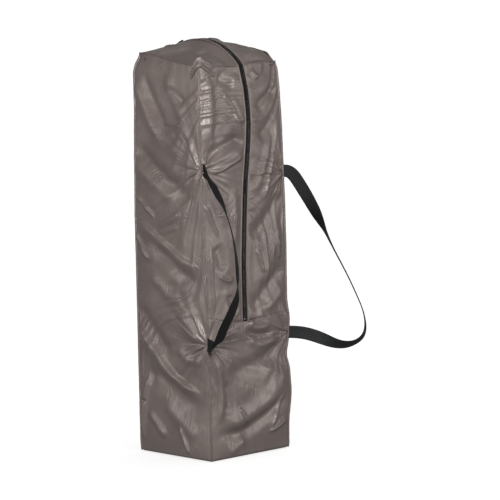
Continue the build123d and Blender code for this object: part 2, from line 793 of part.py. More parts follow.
print(f"{len(pieces)} pieces")
print(f"zip arch: centre y {ARCH_Y:.3f} z {ARCH_Z:.3f}, radius {ARCH_R:.3f}")
print(f"zip slider: rests at {SLIDER_REST:.2f} degrees, travels {SLIDER_TRAVEL:.2f}")
pull_y, pull_z = on_arch(SLIDER_REST, BAIL_RISE)
print(f"pull tab pivot: y {pull_y:.3f} z {pull_z:.3f}")
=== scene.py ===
import json
import math

import bmesh
import bpy
import numpy as np
from bpy.props import FloatProperty, FloatVectorProperty, PointerProperty
from mathutils import Matrix, Vector, noise


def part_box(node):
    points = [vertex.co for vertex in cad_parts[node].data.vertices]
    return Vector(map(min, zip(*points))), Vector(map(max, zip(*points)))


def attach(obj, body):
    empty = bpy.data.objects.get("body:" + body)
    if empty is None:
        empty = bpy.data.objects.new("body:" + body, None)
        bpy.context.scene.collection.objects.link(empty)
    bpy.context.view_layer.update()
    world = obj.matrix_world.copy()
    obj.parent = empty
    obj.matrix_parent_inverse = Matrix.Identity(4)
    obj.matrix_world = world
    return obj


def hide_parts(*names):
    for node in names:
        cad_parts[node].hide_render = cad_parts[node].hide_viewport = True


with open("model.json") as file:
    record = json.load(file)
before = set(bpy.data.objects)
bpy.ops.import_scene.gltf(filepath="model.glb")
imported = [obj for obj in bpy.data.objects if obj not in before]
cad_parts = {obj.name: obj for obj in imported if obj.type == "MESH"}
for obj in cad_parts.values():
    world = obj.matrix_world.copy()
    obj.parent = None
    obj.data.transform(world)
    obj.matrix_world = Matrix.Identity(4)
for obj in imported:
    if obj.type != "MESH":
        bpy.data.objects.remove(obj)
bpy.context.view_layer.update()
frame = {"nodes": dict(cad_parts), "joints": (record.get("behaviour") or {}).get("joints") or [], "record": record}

bl_info = {"name": "Packed playpen", "version": (1, 0, 0), "blender": (4, 5, 0),
    "location": "View3D > Sidebar > Playpen",
    "description": "A folding playpen packed in its zipped carry bag", "category": "Object"}

MM = 0.001

# Sizes of the bag, read from the frame.
SIDE_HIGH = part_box("bag_side_left")[1]
BASE_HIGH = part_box("bag_base")[1]
FRONT_LOW, FRONT_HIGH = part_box("bag_front_left")
HALF_X = BASE_HIGH.x
HALF_Y = BASE_HIGH.y
HALF_ZIP = -FRONT_HIGH.x
FRONT_SEAM_Z = FRONT_LOW.z
FRONT_CORNER_Z = FRONT_HIGH.z
BACK_CORNER_Z = SIDE_HIGH.z
JOINTS = {j["name"]: j for j in frame["joints"]}
ARCH_Y, ARCH_Z = JOINTS["zip_slider_travel"]["pos_m"][1:]
CROWN_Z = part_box("bag_top_left")[1].z
ARCH_R = CROWN_Z - ARCH_Z
HANDLE_AXIS = HALF_X + 0.0042, HALF_Y + 0.0042  # where the handles are sewn in

LOAD_X, LOAD_Y = 0.1004, 0.0929  # half the size of the strapped mattress

CELLS_X = 12  # across one half of the bag, beside the zip
CELLS_Y = 24
CELLS_LOW = 34  # below the front seam
CELLS_HIGH = 62  # above it
PANELS = 11  # sewn panels, with the two strips under the zip


# ---------------------------------------------------------------- materials
def linear(code):
    """A colour as '#rrggbb' in sRGB, as linear RGBA."""
    out = []
    for k in (1, 3, 5):
        c = int(code[k : k + 2], 16) / 255
        out.append(c / 12.92 if c <= 0.04045 else ((c + 0.055) / 1.055) ** 2.4)
    return (*out, 1.0)


def setting(name):
    """A size from the bag's settings, as typed, or a colour as linear RGBA."""
    value = getattr(bpy.context.scene.playpen_bag, name)
    return round(value, 6) if isinstance(value, float) else (*value, 1.0)


def node(tree, kind, at=(0, 0), links=None, **settings):
    """Adds a node. settings are its properties, or inputs where the name is an input's;
    links maps an input's name or number to an output socket."""
    made = tree.nodes.new(kind)
    made.location = at
    for name, value in settings.items():
        key = name.replace("_", " ")
        found = [s for s in made.inputs if s.name.lower() == key.lower()]
        if hasattr(made, name):
            setattr(made, name, value)
        elif found:
            found[0].default_value = value
        else:
            raise KeyError(f"{kind} has no {name}")
    for name, source in (links or {}).items():
        tree.links.new(source, made.inputs[name])
    return made


def new_material(name):
    """An empty material with its shader: (material, node tree, shader)."""
    made = bpy.data.materials.new(name)
    made.use_nodes = True
    tree = made.node_tree
    tree.nodes.clear()
    out = node(tree, "ShaderNodeOutputMaterial", (900, 0))
    shader = node(tree, "ShaderNodeBsdfPrincipled", (600, 0))
    tree.links.new(shader.outputs[0], out.inputs[0])
    return made, tree, shader


def ramp(tree, source, stops, at=(0, 0)):
    """A colour ramp on a value: stops are (position, linear colour)."""
    made = node(tree, "ShaderNodeValToRGB", at)
    tree.links.new(source, made.inputs[0])
    cells = made.color_ramp.elements
    cells[0].position, cells[0].color = stops[0]
    cells[1].position, cells[1].color = stops[-1]
    for position, colour in stops[1:-1]:
        cell = cells.new(position)
        cell.color = colour
    return made


def taffeta(name, base, low, high, roughness=0.42, crinkle=1.0):
    """Satin-faced polyester taffeta: a fine even weave with a soft lengthways shine, which
    shows every drag line. The UV map is in metres."""
    made, tree, shader = new_material(name)
    uv = node(tree, "ShaderNodeTexCoord", (-1500, 0)).outputs["UV"]
    # Drag lines, about 4 mm apart and 40 mm long, that bend slowly across the panel.
    bend = node(tree, "ShaderNodeTexNoise", (-1300, 300), {"Vector": uv}, scale=9.0, detail=1.0)
    swing = node(tree, "ShaderNodeMapRange", (-1100, 300), {"Value": bend.outputs["Fac"]},
        from_min=0.3, from_max=0.7, to_min=-0.09, to_max=0.09)
    turned = node(tree, "ShaderNodeVectorRotate", (-900, 200), {"Vector": uv,
        "Angle": swing.outputs[0]}, rotation_type="Z_AXIS")
    long_scale = node(tree, "ShaderNodeVectorMath", (-700, 200), {0: turned.outputs[0]},
        operation="MULTIPLY")
    long_scale.inputs[1].default_value = (260.0, 26.0, 1.0)
    drag = node(tree, "ShaderNodeTexNoise", (-500, 200), {"Vector": long_scale.outputs[0]},
        scale=1.0, detail=2.0, roughness=0.55)
    where = node(tree, "ShaderNodeTexNoise", (-700, 0), {"Vector": uv}, scale=14.0, detail=2.0)
    patch = node(tree, "ShaderNodeMapRange", (-500, 0), {"Value": where.outputs["Fac"]},
        from_min=0.45, from_max=0.68, to_min=0.08, to_max=1.0)
    drag_patch = node(tree, "ShaderNodeMath", (-300, 150), {0: drag.outputs["Fac"],
        1: patch.outputs[0]}, operation="MULTIPLY")
    # Thread spacing is 0.25 mm; drawn at 0.8 mm, the finest that shows.
    weave_scale = node(tree, "ShaderNodeVectorMath", (-700, -300), {0: uv}, operation="MULTIPLY")
    weave_scale.inputs[1].default_value = (1250.0, 1250.0, 1.0)
    weave = node(tree, "ShaderNodeTexNoise", (-500, -300), {"Vector": weave_scale.outputs[0]},
        scale=1.0, detail=1.0)
    shade = ramp(tree, bend.outputs["Fac"], [(0.3, low), (0.5, base), (0.72, high)], (-100, 400))
    rough = node(tree, "ShaderNodeMapRange", (100, 0), {"Value": drag.outputs["Fac"]},
        to_min=roughness - 0.06, to_max=roughness + 0.06)
    bump_drag = node(tree, "ShaderNodeBump", (100, -200), {"Height": drag_patch.outputs[0]},
        strength=0.8 * crinkle, distance=0.003)
    bump_weave = node(tree, "ShaderNodeBump", (300, -300), {"Height": weave.outputs["Fac"],
        "Normal": bump_drag.outputs[0]}, strength=0.12, distance=0.0003)
    tree.links.new(shade.outputs[0], shader.inputs["Base Color"])
    tree.links.new(rough.outputs[0], shader.inputs["Roughness"])
    tree.links.new(bump_weave.outputs[0], shader.inputs["Normal"])
    shader.inputs["Specular IOR Level"].default_value = 0.8
    shader.inputs["Sheen Weight"].default_value = 0.06
    shader.inputs["Sheen Roughness"].default_value = 0.35
    shader.inputs["Sheen Tint"].default_value = linear("#d8ccc6")
    shader.inputs["Specular Tint"].default_value = linear("#d4cac6")
    shader.inputs["Anisotropic"].default_value = 0.35
    return made


def ribbed_webbing(name, base, high):
    """Polypropylene webbing: heavy ribs across the strap and a fine herringbone between, with
    a dull plastic shine. The UV map is in metres, V along the strap."""
    made, tree, shader = new_material(name)
    uv = node(tree, "ShaderNodeTexCoord", (-1100, 0)).outputs["UV"]
    ribs = node(tree, "ShaderNodeTexWave", (-800, 200), {"Vector": uv}, wave_type="BANDS",
        bands_direction="Y", scale=math.pi / 10 / 0.0016 / 2, distortion=0.0)
    cords = node(tree, "ShaderNodeTexWave", (-800, -100), {"Vector": uv}, wave_type="BANDS",
        bands_direction="X", scale=math.pi / 10 / 0.0012 / 2, distortion=0.0)
    fuzz = node(tree, "ShaderNodeTexNoise", (-800, -350), {"Vector": uv}, scale=900.0)
    both = node(tree, "ShaderNodeMath", (-500, 50), {0: ribs.outputs["Fac"],
        1: cords.outputs["Fac"]}, operation="MULTIPLY")
    height = node(tree, "ShaderNodeMath", (-300, 0), {0: both.outputs[0], 1: fuzz.outputs["Fac"]},
        operation="ADD")
    # Painted highlight: the ramp follows the ribs' height, so the tops of the ribs are coloured lighter than the
    # hollows between them.
    shade = ramp(tree, both.outputs[0], [(0.0, base), (1.0, high)], (-200, 300))
    bump = node(tree, "ShaderNodeBump", (0, -100), {"Height": height.outputs[0]}, strength=0.6,
        distance=0.0005)
    tree.links.new(shade.outputs[0], shader.inputs["Base Color"])
    tree.links.new(bump.outputs[0], shader.inputs["Normal"])
    shader.inputs["Roughness"].default_value = 0.6
    shader.inputs["Specular IOR Level"].default_value = 0.18
    return made


def speckled(name, base, high, roughness, metallic=0.0, grain_mm=0.4, bump_strength=0.15, coat=0.0):
    """A hard finish with a fine grain: moulded nylon, powder coat, lacquer or plain steel."""
    made, tree, shader = new_material(name)
    place = node(tree, "ShaderNodeTexCoord", (-900, 0)).outputs["Object"]
    grain = node(tree, "ShaderNodeTexNoise", (-700, 0), {"Vector": place},
        scale=1 / (grain_mm * MM) / 4, detail=2.0)
    wear = node(tree, "ShaderNodeTexNoise", (-700, -250), {"Vector": place}, scale=30.0, detail=3.0)
    shade = ramp(tree, wear.outputs["Fac"], [(0.35, base), (0.7, high)], (-300, 200))
    rough = node(tree, "ShaderNodeMapRange", (-300, -50), {"Value": wear.outputs["Fac"]},
        to_min=roughness - 0.08, to_max=roughness + 0.08)
    bump = node(tree, "ShaderNodeBump", (-300, -300), {"Height": grain.outputs["Fac"]},
        strength=bump_strength, distance=0.0002)
    tree.links.new(shade.outputs[0], shader.inputs["Base Color"])
    tree.links.new(rough.outputs[0], shader.inputs["Roughness"])
    tree.links.new(bump.outputs[0], shader.inputs["Normal"])
    shader.inputs["Metallic"].default_value = metallic
    shader.inputs["Coat Weight"].default_value = coat
    return made


MATERIALS = {}


def material(name):
    """The named finish, made once."""
    if name not in MATERIALS:
        make, colours, details = RECIPES[name]
        colours = [linear(c) if c[0] == "#" else setting(c) for c in colours]
        MATERIALS[name] = make(name, *colours, **details)
    return MATERIALS[name]


# Each finish: how it is made, its colours as sRGB hex or as the name of a setting, and details.
RECIPES = {
    # Satin-faced: a fine even weave with a soft sheen that lights up every fold.
    "woven polyester taffeta": (taffeta, ("cloth_colour", "cloth_shade", "cloth_light"), {}),
    # Near black and dull, with fine ribs across; their tops are coloured lighter, a painted highlight.
    "woven zip tape": (ribbed_webbing, ("#060708", "#0d0e10"), {}),
    # Near black, with small soft glints on the loops.
    "nylon zip coil": (speckled, ("#060607", "#0c0c0e"), {"roughness": 0.4, "grain_mm": 0.3}),
    # Cast and lacquered black: a smooth, clear highlight.
    "lacquered zinc": (
        speckled,
        ("#17181a", "#202225"),
        {"roughness": 0.3, "grain_mm": 0.5, "bump_strength": 0.05, "coat": 0.4},
    ),
    # Heavy ribs that catch a dull plastic shine, and a painted highlight: the tops of the ribs are coloured
    # lighter.
    "polypropylene webbing": (ribbed_webbing, ("webbing_colour", "webbing_light"), {}),
    # Taupe, with a low shine on each stitch.
    "polyester thread": (speckled, ("#6d625d", "#7a6f6a"), {"roughness": 0.55, "grain_mm": 0.2}),
    # Grey with a fine grain and a soft highlight.
    "powder-coated steel": (
        speckled,
        ("#8c8d90", "#96979a"),
        {"roughness": 0.45, "grain_mm": 0.5, "bump_strength": 0.2},
    ),
    # Dark grey and half matt, with the mould's grain.
    "moulded nylon": (speckled, ("#2b2b2e", "#343437"), {"roughness": 0.5, "grain_mm": 0.6}),
    # Near black, and a little smoother than the other mouldings.
    "moulded wheel plastic": (speckled, ("#18181a", "#222224"), {"roughness": 0.45}),
    # Bright metal with a slightly blurred reflection.
    "plain steel": (
        speckled,
        ("#a8a8aa", "#b4b4b6"),
        {"roughness": 0.32, "metallic": 1.0, "bump_strength": 0.06},
    ),
    # Matt grey, with faint drag lines.
    "soft woven polyester": (
        taffeta,
        ("#6f6a67", "#68635f", "#767170"),
        {"roughness": 0.7, "crinkle": 0.6},
    ),
    # Matt and a little lighter, with fainter drag lines still.
    "padded cover cloth": (
        taffeta,
        ("#857c77", "#7d746f", "#8d847f"),
        {"roughness": 0.75, "crinkle": 0.5},
    ),
}
FINISH_OF_SLOT = {"bag_cloth": "woven polyester taffeta", "zip_tape": "woven zip tape",
    "zip_coil": "nylon zip coil", "zip_metal": "lacquered zinc", "webbing": "polypropylene webbing",
    "frame_tube": "powder-coated steel", "moulding": "moulded nylon",
    "wheel": "moulded wheel plastic", "pin_steel": "plain steel",
    "side_cloth": "soft woven polyester", "mattress_cover": "padded cover cloth"}


def place_piece(name, bm, finish, body):
    """Turns a bmesh into a finished piece that rides on a body."""
    mesh = bpy.data.meshes.new(name)
    bm.to_mesh(mesh)
    bm.free()
    mesh.polygons.foreach_set("use_smooth", [True] * len(mesh.polygons))
    made = bpy.data.objects.new(name, mesh)
    bpy.context.scene.collection.objects.link(made)
    made.data.materials.append(material(finish))
    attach(made, body)
    return made


# ---------------------------------------------------------------- shape of the bag
def arch_height(y):
    """Height of the zip's arch at y."""
    return ARCH_Z + math.sqrt(max(ARCH_R**2 - (y - ARCH_Y) ** 2, 0))


def side_seam_height(y, side=-1):
    """Height of the top seam at each side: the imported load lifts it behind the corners."""
    back = (y + HALF_Y) / (2 * HALF_Y)
    lift = np.interp(back, (0, 0.12, 0.4, 0.75, 0.93, 1) if side > 0 else (0, 0.3, 0.7, 0.9, 1),
        (-3, 11, 19, 19, 14, 9) if side > 0 else (0, 0, 7, 12, 10))
    return FRONT_CORNER_Z + (BACK_CORNER_Z - FRONT_CORNER_Z) * back + float(lift) * MM


def top_height(x, y):
    """Height of the top at (x, y): an arch at the zip, and straight at the side seams."""
    share = min(max((abs(x) - HALF_ZIP) / (HALF_X - HALF_ZIP), 0), 1)
    arch, seam = arch_height(y), side_seam_height(y, x)
    sag = 0.006 if x > 0 else -0.002
    return arch + (seam - arch) * share + sag * math.sin(math.pi * share)


# How far the zip wanders to the right and how far the front stands out, by height.
ZIP_WANDER = ((0.0, 0.0), (0.277, -0.010), (0.38, -0.010), (0.47, -0.006), (0.56, -0.001), (0.62,
    0.003), (0.68, 0.004), (0.73, 0.001), (0.772, 0.0))
FRONT_SWELL = ((0.0, 0.0), (0.06, 0.004), (0.277, 0.005), (0.40, 0.005), (0.55, 0.007), (0.66,
    0.014), (0.73, 0.011), (0.772, 0.0))


# How far the upright seams stray from straight, by height: (height, x, y) in millimetres.
FRONT_LEFT_STRAY = ((0, 0, 0), (230, 0, 0), (330, -2, 0), (430, -5, 1), (560, -8, 1), (640, -8, 1),
    (700, -7, 4), (778, -3, 2))
FRONT_RIGHT_STRAY = ((0, 0, 0), (60, 1, -1), (115, 6, -5), (165, 4, -3), (190, -2, 1), (215, 3, -2),
    (265, 6, -5), (300, 2, -1), (420, 3, -2), (560, 1, -1), (640, 0, 0), (730, -3, 2), (760, -5, 4),
    (778, -9, 7))
BACK_LEFT_STRAY = ((0, -12, 10), (120, -12, 10), (480, -11, 9), (600, -9, 8), (700, -7, 6), (758,
    -8, 6), (775, -5, 4), (790, 3, -3))
BACK_RIGHT_STRAY = ((0, 2, 2), (200, 5, 4), (500, 4, 5), (700, 5, 4), (790, 0, 0))


def along(table, z):
    """A value read from a table of (height, value)."""
    return float(np.interp(z, [a for a, _ in table], [b for _, b in table]))


def stray(table, z):
    """How far a seam strays at a height, from a table of (height, x, y) in millimetres."""
    heights = [row[0] * MM for row in table]
    return Vector((
        float(np.interp(z, heights, [row[1] for row in table])) * MM,
        float(np.interp(z, heights, [row[2] for row in table])) * MM,
        0,
    ))


def strayed(x, y, z):
    """A place on the bag moved with the seams nearest to it. The line of the zip stays."""
    x, y, z = float(x), float(y), float(z)
    left, right = min(max(-x / HALF_X, 0.0), 1.0), min(max(x / HALF_X, 0.0), 1.0)
    front = min(max((HALF_Y - y) / (2 * HALF_Y), 0.0), 1.0)
    move = left * (front * stray(FRONT_LEFT_STRAY, z) + (1 - front) * stray(BACK_LEFT_STRAY, z))
    move += right * (front * stray(FRONT_RIGHT_STRAY, z) + (1 - front) * stray(BACK_RIGHT_STRAY, z))
    return (x + move.x, y + move.y, z)


def panel_points():
    """Each panel of the bag as (name, columns, rows, function from (column, row) to place,
    whether its faces are turned over)."""
    x_left = np.linspace(-HALF_X, -HALF_ZIP, CELLS_X + 1)
    x_zip = np.array([-HALF_ZIP, 0, HALF_ZIP])
    x_right = -x_left[::-1]
    x_all = np.concatenate([x_left, [0], x_right])
    y_all = np.linspace(-HALF_Y, HALF_Y, CELLS_Y + 1)
    z_low = np.linspace(0, FRONT_SEAM_Z, CELLS_LOW + 1)
    z_high = np.linspace(FRONT_SEAM_Z, 1, CELLS_HIGH + 1)  # the top row is set by its seam

    def level(z_row, top):
        if z_row <= FRONT_SEAM_Z:
            return z_row
        share = (z_row - FRONT_SEAM_Z) / (1 - FRONT_SEAM_Z)
        return FRONT_SEAM_Z + share * (top - FRONT_SEAM_Z)

    z_all = np.concatenate([z_low, z_high[1:]])

    def front(x, z_row):
        z = level(z_row, top_height(x, -HALF_Y))
        across = 1 - (x / HALF_X) ** 2
        # The seam across the front sags under the zip and climbs to the left.
        sag = float(np.interp(x, (-0.1025, -0.03, 0.0, 0.05, 0.1025), (10, -5, -8, -2, 0))) * MM
        sag *= math.exp(-(((z - FRONT_SEAM_Z) / 0.05) ** 2))
        return (x + along(ZIP_WANDER, z) * across, -HALF_Y - along(FRONT_SWELL, z) * across,
            z + sag)

    def back(x, z_row):
        z = level(z_row, top_height(x, HALF_Y))
        swell = 0.006 * (1 - (x / HALF_X) ** 2) * math.sin(math.pi * min(z / 0.8, 1))
        return (x, HALF_Y + swell, z)

    def side(way):
        def at(y, z_row):
            z = level(z_row, side_seam_height(y, way))
            swell = 0.005 * (1 - (y / HALF_Y) ** 2) * math.sin(math.pi * min(z / 0.8, 1))
            return (way * (HALF_X + swell), y, z)

        return at

    def top(x, y):
        return (x, y, top_height(x, y))

    def base(x, y):
        return (x, y, 0)

    return [
        ("bag_base", x_all, y_all, base, True),
        ("bag_side_left", y_all, z_all, side(-1), True),
        ("bag_side_right", y_all, z_all, side(1), False),
        ("bag_back", x_all, z_all, back, True),
        ("bag_front_lower", x_all, z_low, front, False),
        ("bag_front_left", x_left, z_high, front, False),
        ("bag_front_right", x_right, z_high, front, False),
        ("bag_top_left", x_left, y_all, top, False),
        ("bag_top_right", x_right, y_all, top, False),
        ("zip_front", x_zip, z_high, front, False),
        ("zip_top", x_zip, y_all, top, False),
    ]


def whole_bag():
    """All panels as one mesh: the material index says which panel a face belongs to, and the
    UV map is the flat pattern in metres."""
    whole = bmesh.new()
    whole.loops.layers.uv.new("UVMap")
    lying = ("bag_base", "bag_top_left", "bag_top_right", "zip_top")
    names = []
    for number, (name, columns, rows, place, flip) in enumerate(panel_points()):
        names.append(name)
        part = bmesh.new()
        part_uv = part.loops.layers.uv.new("UVMap")
        bmesh.ops.create_grid(part, x_segments=len(columns) - 1, y_segments=len(rows) - 1, size=1.0)
        for v in part.verts:
            i = round((v.co.x + 1) / 2 * (len(columns) - 1))
            j = round((v.co.y + 1) / 2 * (len(rows) - 1))
            v.co.x, v.co.y = i, j
        for f in part.faces:
            f.material_index = number
            for loop in f.loops:
                a, b = columns[round(loop.vert.co.x)], rows[round(loop.vert.co.y)]
                loop[part_uv].uv = (a, b if name in lying else place(a, b)[2])
        for v in part.verts:
            v.co = strayed(*place(columns[round(v.co.x)], rows[round(v.co.y)]))
        if flip:
            bmesh.ops.reverse_faces(part, faces=part.faces[:])
        holder = bpy.data.meshes.new("holder")
        part.to_mesh(holder)
        part.free()
        whole.from_mesh(holder)
        bpy.data.meshes.remove(holder)
    bmesh.ops.remove_doubles(whole, verts=whole.verts[:], dist=0.0005)
    return whole, names


def simulate(bm):
    """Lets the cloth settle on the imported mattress: it is cut a little large, held along its
    seams, and buckles between them."""
    mesh = bpy.data.meshes.new("bag cloth")
    for _ in range(PANELS):
        mesh.materials.append(None)
    bm.to_mesh(mesh)
    cloth = bpy.data.objects.new("bag cloth", mesh)
    scene = bpy.context.scene
    scene.collection.objects.link(cloth)

    co = np.array([v.co for v in mesh.vertices], float)
    seam = np.zeros(len(co))
    edge_panels = {}
    for poly in mesh.polygons:
        for key in poly.edge_keys:
            edge_panels.setdefault(key, set()).add(poly.material_index)
    for (a, b), panels in edge_panels.items():
        if len(panels) > 1:
            seam[a] = seam[b] = 1
    # How firmly each place is held: the seams and the zip give a little.
    loose_zip, loose_seam, fast = 0.5, 0.55, 1.0
    on_zip = np.abs(co[:, 0]) < HALF_ZIP + 0.0002
    base = co[:, 2] < 0.0005
    weight = np.where(seam > 0, loose_seam, 0.0)
    weight[on_zip & (co[:, 1] < -HALF_Y + 0.001)] = loose_zip
    weight[base | (on_zip & (co[:, 2] > FRONT_CORNER_Z - 0.008))] = fast
    group = cloth.vertex_groups.new(name="held")
    for value in (loose_zip, loose_seam, fast):
        chosen = np.nonzero(np.abs(weight - value) < 1e-6)[0].tolist()
        group.add(chosen, value, "REPLACE")

    cloth.shape_key_add(name="Basis")
    grown = cloth.shape_key_add(name="cut size")
    big = co.copy()
    big[:, :2] *= setting("cut_across")
    big[:, 2] *= setting("cut_up")
    grown.data.foreach_set("co", big.ravel())
    grown.value = 0.0

    nudge = np.array([
        0.0012 * noise.noise(Vector(c) * 28.0 + Vector((3.1, 0, 0)))
        + 0.002 * noise.noise(Vector(c) * 9.0)
        for c in co
    ])
    normals = np.array([v.normal for v in mesh.vertices], float)
    start = co + normals * (nudge * (seam == 0) * (~base))[:, None]
    cloth.data.shape_keys.key_blocks["Basis"].data.foreach_set("co", start.ravel())
    mesh.vertices.foreach_set("co", start.ravel())

    load_height = 0.775
    inner = bmesh.new()
    bmesh.ops.create_cube(inner, size=1.0)
    bmesh.ops.scale(inner, vec=(2 * HALF_X - 0.010, 2 * HALF_Y - 0.010, load_height),
        verts=inner.verts[:])
    bmesh.ops.translate(inner, vec=(0, 0, load_height / 2 + 0.001), verts=inner.verts[:])
    bmesh.ops.bevel(inner, geom=inner.edges[:], offset=0.012, segments=3, affect="EDGES",
        profile=0.5, material=-1)
    inner_mesh = bpy.data.meshes.new("packed load")
    inner.to_mesh(inner_mesh)
    inner.free()
    load = bpy.data.objects.new("packed load", inner_mesh)
    scene.collection.objects.link(load)
    load.modifiers.new("Collision", "COLLISION")
    load.collision.thickness_outer = 0.001
    load.collision.cloth_friction = 8.0

    modifier = cloth.modifiers.new("Cloth", "CLOTH")
    s = modifier.settings
    s.quality = 6
    s.mass = 0.05
    s.tension_stiffness = s.compression_stiffness = 12.0
    s.shear_stiffness = 6.0
    s.bending_stiffness = 0.08
    s.tension_damping = s.compression_damping = s.shear_damping = 4.0
    s.bending_damping = 0.3
    s.vertex_group_mass = "held"
    s.pin_stiffness = 1.0
    s.rest_shape_key = grown
    s.use_pressure = True
    s.uniform_pressure_force = 0.15
    s.effector_weights.gravity = 0.4
    c = modifier.collision_settings
    c.collision_quality = 2
    c.distance_min = 0.001
    c.use_self_collision = False
    scene.frame_start, scene.frame_end = 1, 24
    modifier.point_cache.frame_start, modifier.point_cache.frame_end = 1, 24
    for k in range(1, 25):
        scene.frame_set(k)
    settled = cloth.evaluated_get(bpy.context.evaluated_depsgraph_get())
    after = np.empty(len(co) * 3)
    settled.data.vertices.foreach_get("co", after)
    after = after.reshape(-1, 3)
    move = after - co
    length = np.linalg.norm(move, axis=1, keepdims=True)
    farthest = 0.014
    move *= np.minimum(1, farthest / np.maximum(length, 1e-9))
    # Averaged with the places beside each one: the row-by-row ripple of the coarse cells goes,
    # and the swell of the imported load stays.
    held = length[:, 0] < 1e-7
    ends = np.array([(e.verts[0].index, e.verts[1].index) for e in bm.edges])
    for _ in range(6):
        total, count = np.zeros_like(move), np.zeros((len(move), 1))
        for one, other in ((0, 1), (1, 0)):
            np.add.at(total, ends[:, one], move[ends[:, other]])
            np.add.at(count, ends[:, one], 1)
        move = 0.4 * move + 0.6 * total / count
        move[held] = 0
    bpy.data.objects.remove(cloth)
    bpy.data.objects.remove(load)
    scene.frame_set(1)
    for v, place in zip(bm.verts, co + move):
        v.co = place
    return bm


def smooth_refine(bm):
    """Two Catmull-Clark steps on the whole bag, so that panels still share their borders."""
    mesh = bpy.data.meshes.new("refine")
    for _ in range(PANELS):
        mesh.materials.append(None)
    bm.to_mesh(mesh)
    bm.free()
    holder = bpy.data.objects.new("refine", mesh)
    bpy.context.scene.collection.objects.link(holder)
    modifier = holder.modifiers.new("Subdivision", "SUBSURF")
    modifier.levels = modifier.render_levels = 2
    modifier.uv_smooth = "NONE"
    done = bpy.data.meshes.new_from_object(
        holder.evaluated_get(bpy.context.evaluated_depsgraph_get())
    )
    bpy.data.objects.remove(holder)
    return done


# ---------------------------------------------------------------- folds
def value_noise(x, y, seed):
    """Smooth noise from 0 to 1 on arrays of coordinates, one lattice step per unit."""
    table = np.random.default_rng(seed).random((64, 64))
    i, j = np.floor(x).astype(int), np.floor(y).astype(int)
    u, v = x - i, y - j
    u, v = u * u * u * (u * (6 * u - 15) + 10), v * v * v * (v * (6 * v - 15) + 10)
    a, b = table[i % 64, j % 64], table[(i + 1) % 64, j % 64]
    c, d = table[i % 64, (j + 1) % 64], table[(i + 1) % 64, (j + 1) % 64]
    return (a * (1 - u) + b * u) * (1 - v) + (c * (1 - u) + d * u) * v


def drag_lines(s, z, seed, swing=0.9, short=0.02, long=0.13):
    """Long narrow folds whose direction turns slowly across the panel, from -1 to 1."""
    angle = swing * (value_noise(s / 0.2 + 7, z / 0.2 + 3, seed) - 0.5) * 2.4 + 0.65
    u = s * np.cos(angle) + z * np.sin(angle)
    v = -s * np.sin(angle) + z * np.cos(angle)
    fine = value_noise(u / short, v / long, seed + 1)
    broad = value_noise(u / (2.4 * short), v / (1.6 * long), seed + 2)
    return (2 * fine - 1) * 0.35 + (1 - 2 * np.abs(2 * broad - 1)) * 0.65


def to_line(s, z, points):
    """Distance from each place to a smooth line through points, the share of the way along it,
    and which side it is on. All in metres."""
    p = np.array(points, float) * MM
    if len(p) > 2:  # a quick rounding of the line's corners
        for _ in range(2):
            cut = np.empty((2 * len(p) - 2, 2))
            cut[0::2] = 0.75 * p[:-1] + 0.25 * p[1:]
            cut[1::2] = 0.25 * p[:-1] + 0.75 * p[1:]
            p = np.vstack([p[:1], cut, p[-1:]])
    best = np.full(s.shape, 1e9)
    share = np.zeros(s.shape)
    way = np.zeros(s.shape)
    lengths = np.linalg.norm(np.diff(p, axis=0), axis=1)
    done, total = 0.0, lengths.sum()
    for a, b, length in zip(p[:-1], p[1:], lengths):
        d = (b - a) / max(length, 1e-9)
        t = np.clip((s - a[0]) * d[0] + (z - a[1]) * d[1], 0, length)
        ds, dz = s - a[0] - t * d[0], z - a[1] - t * d[1]
        dist = np.hypot(ds, dz)
        nearer = dist < best
        best = np.where(nearer, dist, best)
        share = np.where(nearer, (done + t) / total, share)
        way = np.where(nearer, np.sign(d[0] * dz - d[1] * ds), way)
        done += length
    return best, share, way


def fold(s, z, kind, height, width, points):
    """The height of one fold. A ridge is round, a crease is sharp, and a lap is steep on one
    side only, as where cloth folds over. Heights and widths are in millimetres."""
    away, share, way = to_line(s, z, points)
    w = width * MM
    ends = np.clip(np.minimum(share, 1 - share) / 0.22, 0, 1)
    ends = ends * ends * (3 - 2 * ends)
    if kind == "ridge":
        form = 1.8 * np.exp(-((away / w) ** 2))
    elif kind == "crease":
        form = 2.9 * np.exp(-np.sqrt((away / w) ** 2 + 0.02) * 2.0)
    else:
        slow = np.where(way > 0, w, w * 0.24)
        form = 2.1 * np.exp(-((away / slow) ** 2))
    return height * MM * form * ends


